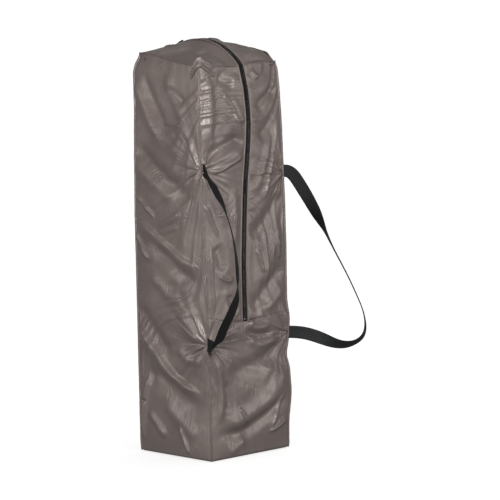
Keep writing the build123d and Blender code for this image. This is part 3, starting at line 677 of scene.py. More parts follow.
# Folds that show on each panel: kind, height, width and the line, all in millimetres. Across
# the sides the first number is Y, across the front and back it is X; the second is height.
FOLDS = {"bag_side_left": (("ridge", 4.0, 13, ((92, 750), (62, 695), (10, 622))), ("ridge", -3.0,
    12, ((68, 760), (38, 700), (-12, 640))), ("ridge", 2.4, 12, ((0, 765), (-25, 715), (-60, 660))),
    ("ridge", -2.6, 9, ((-9, 734), (-56, 700))), ("crease", 1.8, 5, ((14, 664), (-48, 660))),
    ("ridge", -4.5, 17, ((112, 622), (48, 588), (-14, 543), (-84, 508))), ("ridge", 3.0, 14, ((100,
    585), (40, 550), (-30, 515))), ("crease", 2.4, 5, ((92, 518), (62, 500), (31, 474))), ("crease",
    3.0, 6, ((96, 448), (78, 424), (49, 386))), ("lap", 3.0, 18, ((95, 478), (39, 447), (-30, 407),
    (-86, 378))), ("ridge", -3.6, 15, ((60, 430), (10, 405), (-55, 360), (-90, 345))), ("ridge",
    1.6, 6, ((22, 458), (-12, 472), (-45, 492))), ("ridge", 1.2, 5, ((28, 440), (0, 452), (-40,
    462))), ("ridge", -3.0, 14, ((96, 300), (47, 255), (-9, 196))), ("lap", 5.0, 20, ((95, 264),
    (42, 216), (-11, 162), (-80, 129))), ("ridge", -4.5, 20, ((88, 165), (0, 150), (-84, 92))),
    ("crease", 3.2, 6, ((62, 166), (77, 108), (86, 52), (80, 18))), ("crease", 3.0, 6, ((-22, 68),
    (-36, 30), (-46, 6))), ("crease", -2.6, 5, ((93, 101), (72, 106))), ("ridge", 2.6, 8, ((69, 88),
    (30, 52), (14, 34))), ("ridge", 2.4, 14, ((20, 110), (-30, 70), (-70, 40))), ("ridge", 3.0, 14,
    ((-30, 300), (-60, 262), (-84, 238))), ("ridge", 2.5, 10, ((-20, 220), (-55, 196), (-86, 205))),
    ("ridge", 2.4, 12, ((50, 370), (10, 330), (-45, 305)))), "bag_front_left": (("ridge", 4.5, 9,
    ((-91, 772), (-82, 728), (-84, 668), (-88, 610))), ("ridge", -4.0, 10, ((-66, 752), (-44, 742),
    (-24, 736))), ("crease", 2.6, 5, ((-58, 732), (-34, 686), (-12, 622))), ("ridge", 2.6, 9, ((-40,
    716), (-24, 690), (-14, 656))), ("ridge", -4.5, 12, ((-98, 592), (-62, 620), (-10, 634))),
    ("lap", 3.5, 12, ((-86, 566), (-40, 582), (-8, 604))), ("crease", 1.8, 4, ((-98, 512), (-84,
    478), (-66, 440))), ("crease", 2.2, 5, ((-70, 368), (-46, 352), (-28, 360))), ("ridge", -2.6,
    12, ((-74, 428), (-60, 400), (-58, 372))), ("crease", 2.2, 3, ((-86, 446), (-85, 360), (-85,
    282))), ("ridge", 2.4, 9, ((-30, 540), (-24, 480), (-30, 410))), ("ridge", -2.0, 8, ((-44, 330),
    (-36, 300), (-20, 290)))), "bag_front_right": (("ridge", 2.6, 6, ((20, 762), (38, 744))),
    ("ridge", -3.2, 10, ((90, 726), (42, 700), (26, 678))), ("ridge", -3.6, 12, ((80, 664), (57,
    646), (28, 622))), ("crease", 3.0, 5, ((86, 664), (66, 590), (44, 500))), ("ridge", 2.4, 8,
    ((60, 640), (46, 580), (22, 520))), ("ridge", -4.0, 15, ((94, 520), (50, 458), (14, 430))),
    ("crease", 2.4, 5, ((30, 412), (46, 360))), ("crease", 2.4, 5, ((76, 428), (84, 382))),
    ("ridge", 3.0, 13, ((90, 460), (64, 400), (40, 330))), ("ridge", -3.6, 13, ((96, 378), (46,
    318), (14, 288))), ("ridge", 2.2, 9, ((94, 330), (70, 300), (40, 286)))),
    "bag_front_lower": (("ridge", -4.5, 17, ((96, 222), (42, 190), (-20, 172), (-60, 180))),
    ("ridge", 4.0, 18, ((98, 168), (56, 112), (-16, 74), (-78, 66))), ("lap", 4.0, 12, ((-92, 216),
    (-76, 148), (-84, 70))), ("ridge", -3.2, 9, ((-64, 160), (-52, 118), (-66, 84))), ("crease",
    2.4, 4, ((-32, 102), (-14, 68))), ("ridge", -4.5, 13, ((98, 112), (38, 76), (-18, 50), (-92,
    52))), ("crease", 3.2, 6, ((96, 62), (44, 40))), ("crease", 2.6, 6, ((84, 118), (66, 78), (50,
    44))), ("ridge", 2.4, 9, ((-62, 10), (-40, 22), (-18, 38))), ("ridge", 2.6, 7, ((-2, 268), (24,
    252), (60, 258))), ("ridge", -2.4, 6, ((-6, 256), (20, 238), (66, 240))), ("ridge", 2.6, 9,
    ((-4, 232), (30, 218), (80, 226))), ("crease", 2.2, 5, ((8, 270), (16, 262)))),
    "bag_side_right": (("ridge", 4.0, 15, ((90, 740), (30, 670), (-20, 600))), ("ridge", -4.0, 16,
    ((-90, 720), (-30, 640), (60, 560))), ("lap", 4.0, 18, ((-92, 500), (-20, 440), (70, 400))),
    ("crease", 3.0, 6, ((70, 520), (40, 460), (50, 400))), ("ridge", -4.0, 15, ((-90, 380), (0,
    330), (90, 250))), ("ridge", 4.0, 15, ((-88, 280), (-20, 200), (60, 150))), ("crease", 3.0, 6,
    ((30, 130), (60, 60), (50, 12))), ("ridge", -3.5, 14, ((90, 110), (0, 80), (-90, 40)))),
    "bag_back": (("ridge", 4.0, 15, ((-96, 740), (-40, 670), (10, 610))), ("ridge", -4.0, 16, ((96,
    720), (30, 640), (-60, 580))), ("crease", 3.0, 6, ((50, 730), (30, 660), (40, 600))), ("lap",
    4.0, 18, ((-98, 520), (0, 450), (90, 430))), ("ridge", -3.8, 15, ((-92, 400), (-10, 360), (92,
    280))), ("ridge", 3.8, 15, ((92, 240), (20, 190), (-70, 170))), ("crease", 3.0, 6, ((-60, 140),
    (-70, 70), (-50, 14))), ("ridge", -3.4, 14, ((-96, 90), (0, 60), (96, 80))), ("ridge", 3.0, 13,
    ((-60, 320), (-20, 250), (-40, 190)))), "bag_top_left": (("ridge", 2.5, 10, ((-90, 60), (-60,
    20), (-30, 10))), ("ridge", -2.0, 9, ((-80, -60), (-50, -30), (-30, -40))), ("crease", 1.6, 5,
    ((-50, 80), (-40, 40)))), "bag_top_right": (("ridge", 3.4, 8, ((94, -70), (60, -84), (24,
    -80))), ("ridge", -2.5, 9, ((80, -40), (50, -50), (20, -40))), ("ridge", 2.2, 10, ((90, 60),
    (50, 30), (20, 40))))}

# Where each handle is sewn in, as panel coordinates in millimetres.
SEWN_LEFT, SEWN_RIGHT, SEWN_LOW = 576, 557, 234
PULLS = {"bag_side_left": ((-95, SEWN_LEFT), (-95, SEWN_LOW)), "bag_front_left": ((-102, SEWN_LEFT),
    (-102, SEWN_LOW)), "bag_front_lower": ((-102, SEWN_LOW), (102, SEWN_LOW)),
    "bag_front_right": ((102, SEWN_RIGHT), (102, SEWN_LOW)), "bag_side_right": ((-95, SEWN_RIGHT),
    (-95, SEWN_LOW))}


def relief(name, s, z, low, high, seed):
    """Height of all of a panel's folds, in metres. It fades out at the panel's borders, where
    the seams hold the cloth."""
    total = np.zeros(s.shape)
    for kind, height, width, points in FOLDS.get(name, ()):
        total += fold(s, z, kind, height, width, points)
    edge = np.minimum.reduce([s - low[0], high[0] - s, z - low[1], high[1] - z])
    total += 0.0024 * drag_lines(s, z, seed)
    total += 0.0005 * drag_lines(z, s, seed + 9, 1.4, 0.010, 0.06) * np.clip(value_noise(s / 0.06,
        z / 0.06, seed + 5) * 4 - 2.4, 0, 1)
    for a, b in PULLS.get(name, ()):
        ds, dz = s - a * MM, z - b * MM
        r = np.hypot(ds, dz)
        turn = np.arctan2(dz, ds)
        rays = value_noise(turn * 4.6 + 20, r / 0.09, seed + 3) * 2 - 1
        fine = value_noise(turn * 10 + 20, r / 0.05, seed + 4) * 2 - 1
        near = np.exp(-r / 0.05) * (1 - np.exp(-r / 0.006))
        total += (0.0075 * rays + 0.0035 * fine) * near
    across = np.minimum(s - low[0], high[0] - s)
    if high[1] - low[1] > 0.25:
        pucker = value_noise(z / 0.009, across / 0.04, seed + 6) * 2 - 1
        patchy = np.clip(value_noise(z / 0.05, across * 0, seed + 7) * 3 - 1, 0, 1)
        total += 0.0004 * pucker * patchy * np.exp(-across / 0.007)
        from_top = high[1] - z
        if name != "bag_front_lower":
            hang = value_noise(s / 0.017, z / 0.12, seed + 8) * 2 - 1
            total += 0.0018 * hang * np.exp(-from_top / 0.04)
    fade = np.clip(edge / 0.006, 0, 1)
    filled = np.clip(across / 0.045, 0, 1)
    return (total + 0.003 * filled) * fade * fade * (3 - 2 * fade)


def outside_load(name, co, flat, low, high):
    """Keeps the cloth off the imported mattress, with a soft landing. The seams stay put."""
    axis, way, wall = {"bag_side_left": (0, -1, LOAD_X), "bag_side_right": (0, 1, LOAD_X),
        "bag_back": (1, 1, LOAD_Y)}.get(name, (1, -1, LOAD_Y))
    if name in ("bag_base", "bag_top_left", "bag_top_right"):
        return co
    soft = 0.0010
    gap = (co[:, axis] * way - wall) / soft
    eased = np.where(gap > 20, gap, np.log1p(np.exp(np.minimum(gap, 20))))
    edge = np.minimum.reduce([flat[:, 0] - low[0], high[0] - flat[:, 0], flat[:, 1] - low[1],
        high[1] - flat[:, 1]])
    beside = np.clip((co[:, 2] - 0.05) / 0.01, 0, 1) * np.clip((0.69 - co[:, 2]) / 0.01, 0, 1)
    share = np.clip(edge / 0.004, 0, 1) * beside
    co = co.copy()
    co[:, axis] += share * (way * (wall + soft * eased) - co[:, axis])
    return co


def split_panels(mesh, names):
    """Cuts the settled cloth into its sewn panels, adds the folds, and returns the paths of
    the seams and of the zip."""
    uv_all = np.empty(len(mesh.loops) * 2)
    mesh.uv_layers["UVMap"].data.foreach_get("uv", uv_all)
    uv_all = uv_all.reshape(-1, 2)
    loop_vert = np.empty(len(mesh.loops), int)
    mesh.loops.foreach_get("vertex_index", loop_vert)
    panel_of = np.empty(len(mesh.polygons), int)
    mesh.polygons.foreach_get("material_index", panel_of)
    starts = np.array([p.loop_start for p in mesh.polygons])
    counts = np.array([p.loop_total for p in mesh.polygons])
    co = np.empty(len(mesh.vertices) * 3)
    mesh.vertices.foreach_get("co", co)
    co = co.reshape(-1, 3)
    normal = np.empty(len(mesh.vertices) * 3)
    mesh.vertices.foreach_get("normal", normal)
    normal = normal.reshape(-1, 3)
    paths = {}
    for number, name in enumerate(names):
        faces = np.nonzero(panel_of == number)[0]
        loops = np.concatenate([np.arange(starts[f], starts[f] + counts[f]) for f in faces])
        verts, first = np.unique(loop_vert[loops], return_index=True)
        flat = uv_all[loops[first]]
        if name.startswith("zip_"):
            paths[name] = (flat, co[verts], normal[verts])
            continue
        low, high = flat.min(0), flat.max(0)
        bump = relief(name, flat[:, 0], flat[:, 1], low, high, 40 + number * 20)
        if name == "bag_base":
            bump = np.zeros(len(verts))
        moved = co.copy()
        moved[verts] += normal[verts] * bump[:, None]
        moved[verts] = outside_load(name, moved[verts], flat, low, high)
        part = mesh.copy()
        part.vertices.foreach_set("co", moved.ravel())
        bm = bmesh.new()
        bm.from_mesh(part)
        bpy.data.meshes.remove(part)
        bm.faces.ensure_lookup_table()
        drop = [f for f in bm.faces if f.material_index != number]
        bmesh.ops.delete(bm, geom=drop, context="FACES")
        for f in bm.faces:
            f.material_index = 0
        piece = place_piece(name + ".cloth", bm, "woven polyester taffeta", "bag")
        thick = piece.modifiers.new("Cloth thickness", "SOLIDIFY")
        thick.thickness = setting("cloth_thickness")
        thick.offset = -1
        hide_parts(name)
        paths[name] = (flat, moved[verts], normal[verts])
    return paths


def line_of(paths, name, column):
    """The points of a panel along one column of its flat pattern, from the lowest up."""
    flat, co, _ = paths[name]
    pick = np.nonzero(np.abs(flat[:, 0] - column) < 1e-5)[0]
    return co[pick[np.argsort(flat[pick, 1])]]


def top_edge(paths, name):
    """The points of a panel's upper border, in order across it."""
    flat, co, _ = paths[name]
    points = []
    for column in np.unique(np.round(flat[:, 0], 6)):
        pick = np.nonzero(np.abs(flat[:, 0] - column) < 1e-5)[0]
        points.append(co[pick[np.argmax(flat[pick, 1])]])
    return np.array(points)


def resample(points, step):
    """The same line at an even step, with its unit tangents."""
    p = np.asarray(points, float)
    length = np.concatenate([[0], np.cumsum(np.linalg.norm(np.diff(p, axis=0), axis=1))])
    count = max(int(round(length[-1] / step)), 2)
    at = np.linspace(0, length[-1], count + 1)
    out = np.stack([np.interp(at, length, p[:, k]) for k in range(3)], 1)
    smooth = out.copy()
    for _ in range(3):
        smooth[1:-1] = 0.25 * smooth[:-2] + 0.5 * smooth[1:-1] + 0.25 * smooth[2:]
    tangent = np.gradient(smooth, axis=0)
    tangent /= np.linalg.norm(tangent, axis=1, keepdims=True)
    return smooth, tangent, at


def sweep(path, lateral, normal, profile):
    """A closed tube: profile is a list of (across, up) in metres, carried along path. It is a
    grid wrapped round the path, with its ends closed."""
    n_path, n_profile = len(path), len(profile)
    bm = bmesh.new()
    uv = bm.loops.layers.uv.new("UVMap")
    bmesh.ops.create_grid(bm, x_segments=n_profile, y_segments=n_path - 1, size=1.0)
    length = np.concatenate([[0], np.cumsum(np.linalg.norm(np.diff(path, axis=0), axis=1))])
    around = [0.0]
    for a, b in zip(profile, profile[1:] + profile[:1]):
        around.append(around[-1] + math.hypot(b[0] - a[0], b[1] - a[1]))
    index = {}
    for v in bm.verts:
        index[v] = (round((v.co.x + 1) / 2 * n_profile), round((v.co.y + 1) / 2 * (n_path - 1)))
    for f in bm.faces:
        for loop in f.loops:
            i, j = index[loop.vert]
            loop[uv].uv = (around[i], length[j])
    for v, (i, j) in index.items():
        across, up = profile[i % n_profile]
        v.co = Vector(path[j] + lateral[j] * across + normal[j] * up)
    bmesh.ops.remove_doubles(bm, verts=bm.verts[:], dist=1e-6)
    holes = [e for e in bm.edges if e.is_boundary]
    bmesh.ops.holes_fill(bm, edges=holes, sides=0)
    bmesh.ops.recalc_face_normals(bm, faces=bm.faces[:])
    return bm


def stadium(width, thick, steps=4):
    """The outline of flat webbing: straight faces with rounded edges."""
    r = thick / 2
    half = width / 2 - r
    out = []
    for k in range(7):
        out.append((half - 2 * half * k / 6, r))
    for k in range(1, steps):
        a = math.pi / 2 + math.pi * k / steps
        out.append((-half + r * math.cos(a), r * math.sin(a)))
    for k in range(7):
        out.append((-half + 2 * half * k / 6, -r))
    for k in range(1, steps):
        a = -math.pi / 2 + math.pi * k / steps
        out.append((half + r * math.cos(a), r * math.sin(a)))
    return out


def ellipse(width, thick, count):
    """The outline of a rounded edge, as points round an ellipse."""
    return [(width / 2 * math.cos(2 * math.pi * k / count),
        thick / 2 * math.sin(2 * math.pi * k / count)) for k in range(count)]


def frames_from(tangent, rough_normal):
    """Unit lateral and normal directions square to the path."""
    lateral = np.cross(tangent, rough_normal)
    lateral /= np.linalg.norm(lateral, axis=1, keepdims=True)
    normal = np.cross(lateral, tangent)
    return lateral, normal


def joined(parts):
    """Several bmeshes as one."""
    whole = bmesh.new()
    whole.loops.layers.uv.new("UVMap")
    for part in parts:
        holder = bpy.data.meshes.new("holder")
        part.to_mesh(holder)
        part.free()
        whole.from_mesh(holder)
        bpy.data.meshes.remove(holder)
    return whole


def small_bar(size, rounding):
    """A small bar with rounded edges, to be repeated along a line."""
    one = bmesh.new()
    one.loops.layers.uv.new("UVMap")
    bmesh.ops.create_cube(one, size=1.0)
    bmesh.ops.bevel(one, geom=one.edges[:], offset=rounding, segments=1, affect="EDGES",
        profile=0.5, material=-1)
    bmesh.ops.scale(one, vec=size, verts=one.verts[:])
    shape = bpy.data.meshes.new("small bar")
    one.to_mesh(shape)
    one.free()
    return shape


def repeated(shape, places, at, directions, place_of):
    """Copies of a shape at distances along a line, turned with it. place_of gives the place of
    the copy at one of the line's points."""
    lateral, tangent, normal = directions
    whole = bmesh.new()
    whole.loops.layers.uv.new("UVMap")
    for d in places:
        j = min(int(np.searchsorted(at, d)), len(at) - 1)
        start = len(whole.verts)
        whole.from_mesh(shape)
        whole.verts.ensure_lookup_table()
        p = place_of(j)
        rows = [(lateral[j][k], tangent[j][k], normal[j][k], p[k]) for k in range(3)]
        turn = Matrix((*rows, (0, 0, 0, 1)))
        bmesh.ops.transform(whole, matrix=turn, verts=whole.verts[start:])
    bpy.data.meshes.remove(shape)
    return whole


def stitches(path, lateral, normal, at, offset):
    """A row of short sewn stitches along a path, each a small rounded bar pressed into the
    cloth."""
    pitch, long, wide = 0.0034, 0.0024, 0.0007
    tangent = np.gradient(path, axis=0)
    tangent /= np.linalg.norm(tangent, axis=1, keepdims=True)
    return repeated(small_bar((wide, long, wide * 0.9), 0.22),
        [(k + 0.5) * pitch for k in range(int(at[-1] / pitch))], at, (lateral, tangent, normal),
        lambda j: path[j] + lateral[j] * offset + normal[j] * wide * 0.15)


def corner_seam_pieces(paths):
    """The four upright seams and the top seam, as narrow folded ridges of the same cloth, and the seam across the
    front with its row of stitches."""
    ridges = []
    corners = (("bag_side_left", -HALF_Y, (-1, -1)), ("bag_side_left", HALF_Y, (-1, 1)),
        ("bag_side_right", -HALF_Y, (1, -1)), ("bag_side_right", HALF_Y, (1, 1)))
    for number, (name, column, out) in enumerate(corners):
        path, tangent, at = resample(line_of(paths, name, column), 0.004)
        outward = np.array([out[0], out[1], 0.0]) / math.sqrt(2)
        wave = np.array([[noise.noise(Vector((number * 9.0, 0, d * 60))) * 0.5, 0, 0] for d in at])
        lateral = np.cross(tangent, np.tile(outward, (len(path), 1)))
        lateral /= np.linalg.norm(lateral, axis=1, keepdims=True)
        lean = outward[None, :] + lateral * wave[:, :1]
        lean /= np.linalg.norm(lean, axis=1, keepdims=True)
        lateral, normal = frames_from(tangent, lean)
        # Two folded edges with the line of stitches sunk between them.
        profile = [(0.0026, -0.0012), (0.0024, 0.0020), (0.0015, 0.0034), (0.0005, 0.0028), (0.0,
            0.0014), (-0.0005, 0.0028), (-0.0015, 0.0034), (-0.0024, 0.0020), (-0.0026, -0.0012)]
        ridges.append(sweep(path, lateral, normal, profile))
    for word in ("side_left", "side_right", "front_left", "front_right", "back"):
        path, tangent, at = resample(top_edge(paths, "bag_" + word), 0.004)
        middle = path.mean(0)
        out = np.array([middle[0], middle[1], 0.0])
        out /= np.linalg.norm(out)
        lean = np.tile(out * 0.8 + np.array([0, 0, 0.6]), (len(path), 1))
        lateral, up = frames_from(tangent, lean)
        profile = [(0.0007, -0.0006), (0.0007, 0.0010), (0.0, 0.0018), (-0.0007, 0.0010), (-0.0007,
            -0.0006)]
        ridges.append(sweep(path, lateral, up, profile))
    piece = place_piece("corner_seams.ridges", joined(ridges), "woven polyester taffeta",
        "bag")
    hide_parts("corner_seams")
    # The seam across the front, with its row of stitches.
    path, tangent, at = resample(top_edge(paths, "bag_front_lower"), 0.002)
    rough = np.tile(np.array([0.0, -1.0, 0.0]), (len(path), 1))
    lateral, normal = frames_from(tangent, rough)
    fold_line = sweep(path, lateral, normal, [(0.0012, -0.0006), (0.0010, 0.0006), (-0.0004,
        0.0008), (-0.0014, -0.0006)])
    place_piece("front_seam.fold", fold_line, "woven polyester taffeta", "bag")
    place_piece("front_seam.stitches", stitches(path, lateral, normal, at, offset=0.0026),
        "polyester thread", "bag")


def corner_gather(name, line, along_a, along_b, peak, reach_a, reach_b, drop):
    """The cloth gathered where three panels meet at a top corner: a small peak above the
    corner, with a pleated flap down each face. along_a and along_b point along the faces."""
    columns, rows = 36, 18
    bm = bmesh.new()
    uv = bm.loops.layers.uv.new("UVMap")
    bmesh.ops.create_grid(bm, x_segments=columns, y_segments=rows, size=1.0)
    top = line[-1]
    outward = -(along_a + along_b) / math.sqrt(2)
    for f in bm.faces:
        for loop in f.loops:
            u, v = loop.vert.co.x, (1 - loop.vert.co.y) / 2
            loop[uv].uv = (u * (reach_a + reach_b) / 2, v * (peak + drop))
    for vert in bm.verts:
        u, v = vert.co.x, (1 - vert.co.y) / 2
        share = abs(u)
        along, reach, face = ((along_a, reach_a, -along_b) if u < 0 else (along_b, reach_b,
            -along_a))
        high = top[2] + peak * (1 - share) ** 1.1 - 0.001
        low = top[2] + 0.002 - drop * share
        z = high + (low - high) * v
        x = np.interp(z, line[:, 2], line[:, 0])
        y = np.interp(z, line[:, 2], line[:, 1])
        pleat = math.sin(v * 8.5 + share * 2.5 + (u < 0)) * 0.0014 * min(share * 4, 1)
        lift = 0.0045 + pleat + 0.0022 * share**3 + 0.0015 * math.sin(math.pi * share)
        spread = reach * share * (0.82 + 0.18 * v)
        lean = -max(z - top[2], 0) * 0.35
        place = (np.array([x, y,
            z]) + outward * (0.0020 * (1 - share) + lean) + along * spread + face * lift)
        vert.co = Vector(place)
    bmesh.ops.recalc_face_normals(bm, faces=bm.faces[:])
    middle = bm.faces[len(bm.faces) // 2]
    if middle.normal.dot(Vector(outward)) < 0:
        bmesh.ops.reverse_faces(bm, faces=bm.faces[:])
    width, area = reach_a + reach_b, round(sum(f.calc_area() for f in bm.faces), 6)
    piece = place_piece(name, bm, "woven polyester taffeta", "bag")
    soften = piece.modifiers.new("Soft", "SUBSURF")
    soften.levels = soften.render_levels = 1
    thick = piece.modifiers.new("Cloth thickness", "SOLIDIFY")
    thick.thickness = 0.0008
    thick.offset = -1


def corner_gathers(paths):
    """The four gathers. Their sizes are the peak, the reach down each face and the drop."""
    ahead, aside = np.array([0.0, 1.0, 0.0]), np.array([1.0, 0.0, 0.0])
    for name, panel, column, along_a, along_b, sizes in (
        ("gather_front_left", "bag_side_left", -HALF_Y, ahead, aside, (20, 21, 36, 28)),
        ("gather_back_left", "bag_side_left", HALF_Y, aside, -ahead, (3, 24, 24, 16)),
        ("gather_front_right", "bag_side_right", -HALF_Y, -aside, ahead, (3, 18, 16, 12)),
        ("gather_back_right", "bag_side_right", HALF_Y, -ahead, -aside, (3, 22, 22, 16)),
    ):
        line = line_of(paths, panel, column)
        corner_gather(name, line, along_a, along_b, *(size * MM for size in sizes))


def zip_path(paths):
    """The middle of the zip, from its lower end up the front and over the top, with its
    directions."""
    flat, co, normal = paths["zip_front"]
    middle = np.abs(flat[:, 0]) < 1e-5
    order = np.argsort(flat[middle, 1])
    rise = co[middle][order]
    flat, co, normal = paths["zip_top"]
    middle = np.abs(flat[:, 0]) < 1e-5
    order = np.argsort(flat[middle, 1])
    over = co[middle][order]
    # The top run keeps to the arch that the slider travels on.
    over = np.array([[0.0, p[1], arch_height(p[1])] for p in over])
    over = over[over[:, 1] < HALF_Y - 0.0008]
    path, tangent, at = resample(np.vstack([rise[:-1], over]), 0.0012)
    keep = path[:, 1] > -HALF_Y + 0.006
    on_arch = keep & (path[:, 2] > FRONT_CORNER_Z)
    path[on_arch, 0] = 0.0
    path[on_arch, 2] = [arch_height(y) for y in path[on_arch, 1]]
    tangent = np.gradient(path, axis=0)
    tangent /= np.linalg.norm(tangent, axis=1, keepdims=True)
    sideways = np.tile(np.array([1.0, 0.0, 0.0]), (len(path), 1))
    normal = np.cross(sideways, tangent)
    normal /= np.linalg.norm(normal, axis=1, keepdims=True)
    lateral = np.cross(tangent, normal)
    lateral /= np.linalg.norm(lateral, axis=1, keepdims=True)
    return path, tangent, lateral, normal, at


def zip_pieces(paths):
    """Tapes, coils, hems and their stitching, along the settled cloth."""
    path, tangent, lateral, normal, at = zip_path(paths)
    step = 3
    for word, side in (("left", -1), ("right", 1)):
        # The tape runs on beneath the cloth's folded edge, where it is sewn down.
        inner, edge, far = side * 0.0023, side * 0.0066, side * 0.0122
        profile = [(inner, -0.0009), (inner, -0.0001), (edge, -0.0002), (far, -0.0036), (far,
            -0.0042), (edge, -0.0012)]
        tape = place_piece(f"zip_tape_{word}.woven", sweep(path[::step], lateral[::step],
            normal[::step], profile), "woven zip tape", "bag")
        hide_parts(f"zip_tape_{word}")
        # The coil: one loop every 1.5 mm, leaning across towards the other half.
        pitch, shift = 0.0015, 0.5 + (0.5 if side > 0 else 0)
        coil = repeated(small_bar((0.0022, 0.0009, 0.0018), 0.24),
            [(k + shift) * pitch for k in range(int(at[-1] / pitch) - 1)], at, (lateral, tangent,
            normal), lambda j: path[j] + lateral[j] * side * 0.0016 - normal[j] * 0.0002)
        piece = place_piece(f"zip_coil_{word}.loops", coil, "nylon zip coil", "bag")
        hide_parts(f"zip_coil_{word}")
        # The cloth's folded edge beside the zip, and the row of stitches on it.
        hem_middle = side * 0.0078
        hem = sweep(path[::step], lateral[::step], normal[::step], [(hem_middle + a,
            b + 0.0002) for a, b in ellipse(0.0044, 0.0021, 8)])
        place_piece(f"zip_hem_{word}", hem, "woven polyester taffeta", "bag")
        rise = normal * 0.0009
        place_piece(f"zip_stitches_{word}", stitches(path + rise, lateral, normal, at,
            offset=side * 0.0086), "polyester thread", "bag")


    # The box stop at the lower end, and a small stop on each coil at the far end.
    stops = []
    for side, start, end in ((0, 2, 7), (-1, -4, -2), (1, -4, -2)):
        run = slice(start, end) if side == 0 else slice(len(path) + start, len(path) + end)
        wide, thick = (0.0088, 0.0024) if side == 0 else (0.0030, 0.0030)
        stops.append(sweep(path[run], lateral[run], normal[run], [(side * 0.0020 + a,
            b + 0.0002) for a, b in ellipse(wide, thick, 12)]))
    piece = place_piece("zip_stops.moulded", joined(stops), "lacquered zinc", "bag")
    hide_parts("zip_stops")


# ---------------------------------------------------------------- handles
RIGHT_ROUTE = ((-5, 557), (1, 557), (26, 533), (46, 498), (69, 452), (92, 401), (117, 350), (138,
    302), (152, 257), (147, 222), (115, 206), (66, 219), (30, 231), (1, 234), (-5, 234))
LEFT_ROUTE = ((-5, 577), (1, 576), (28, 564), (64, 540), (107, 508), (142, 468), (162, 418), (163,
    368), (145, 333), (118, 305), (88, 279), (56, 248), (26, 233), (1, 234), (-5, 235))


def smooth_line(points, start, end, count):
    """A C2 cubic spline through points with given end directions, at even steps."""
    p = np.asarray(points, float)
    h = np.linalg.norm(np.diff(p, axis=0), axis=1)
    n = len(p)
    a = np.zeros((n, n))
    b = np.zeros((n, p.shape[1]))
    a[0, 0] = a[-1, -1] = 1
    b[0], b[-1] = start, end
    for i in range(1, n - 1):
        a[i, i - 1], a[i, i], a[i, i + 1] = h[i], 2 * (h[i - 1] + h[i]), h[i - 1]
        b[i] = 3 * (h[i] / h[i - 1] * (p[i] - p[i - 1]) + h[i - 1] / h[i] * (p[i + 1] - p[i]))
    m = np.linalg.solve(a, b)
    out = []
    for i in range(n - 1):
        for t in np.linspace(0, 1, 24, endpoint=False):
            t2, t3 = t * t, t * t * t
            out.append(
                (2 * t3 - 3 * t2 + 1) * p[i]
                + (t3 - 2 * t2 + t) * h[i] * m[i]
                + (3 * t2 - 2 * t3) * p[i + 1]
                + (t3 - t2) * h[i] * m[i + 1]
            )
    out.append(p[-1])
    out = np.array(out)
    length = np.concatenate([[0], np.cumsum(np.linalg.norm(np.diff(out, axis=0), axis=1))])
    at = np.linspace(0, length[-1], count)
    return np.stack([np.interp(at, length, out[:, k]) for k in range(3)], 1), length[-1]


def webbing_handle(name, body, side, turn_deg, route, twists):
    """A loop of 25 mm webbing, sewn upright into its seam at both ends and twisting between.
    twists is (share of the way, twist in degrees)."""
    turn = math.radians(turn_deg)
    out = np.array([math.cos(turn), math.sin(turn), 0.0])
    axis = np.array([side * HANDLE_AXIS[0], -HANDLE_AXIS[1], 0.0])
    points = [axis + out * r * MM + np.array([0, 0, z * MM]) for r, z in route]
    path, length = smooth_line(points, out, -out, 241)
    tangent = np.gradient(path, axis=0)
    tangent /= np.linalg.norm(tangent, axis=1, keepdims=True)
    across = np.cross(out, np.array([0.0, 0.0, 1.0]))
    upright = np.cross(np.tile(across, (len(path), 1)), tangent)
    upright /= np.linalg.norm(upright, axis=1, keepdims=True)
    share = np.linspace(0, 1, len(path))
    angle = np.radians(np.interp(share, [s for s, _ in twists], [t for _, t in twists]))
    for _ in range(14):
        angle[1:-1] = 0.25 * angle[:-2] + 0.5 * angle[1:-1] + 0.25 * angle[2:]
    lateral = upright * np.cos(angle)[:, None] + across[None, :] * np.sin(angle)[:, None]
    normal = np.cross(lateral, tangent)
    width, cup = setting("webbing_width"), 0.6 * MM
    profile = [(a, b + cup * (1 - (a / (width / 2)) ** 2) - cup / 2) for a, b in stadium(width,
        setting("webbing_thickness"))]
    bm = sweep(path, lateral, normal, profile)
    piece = place_piece(name + ".webbing", bm, "polypropylene webbing", body)
    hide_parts(name)


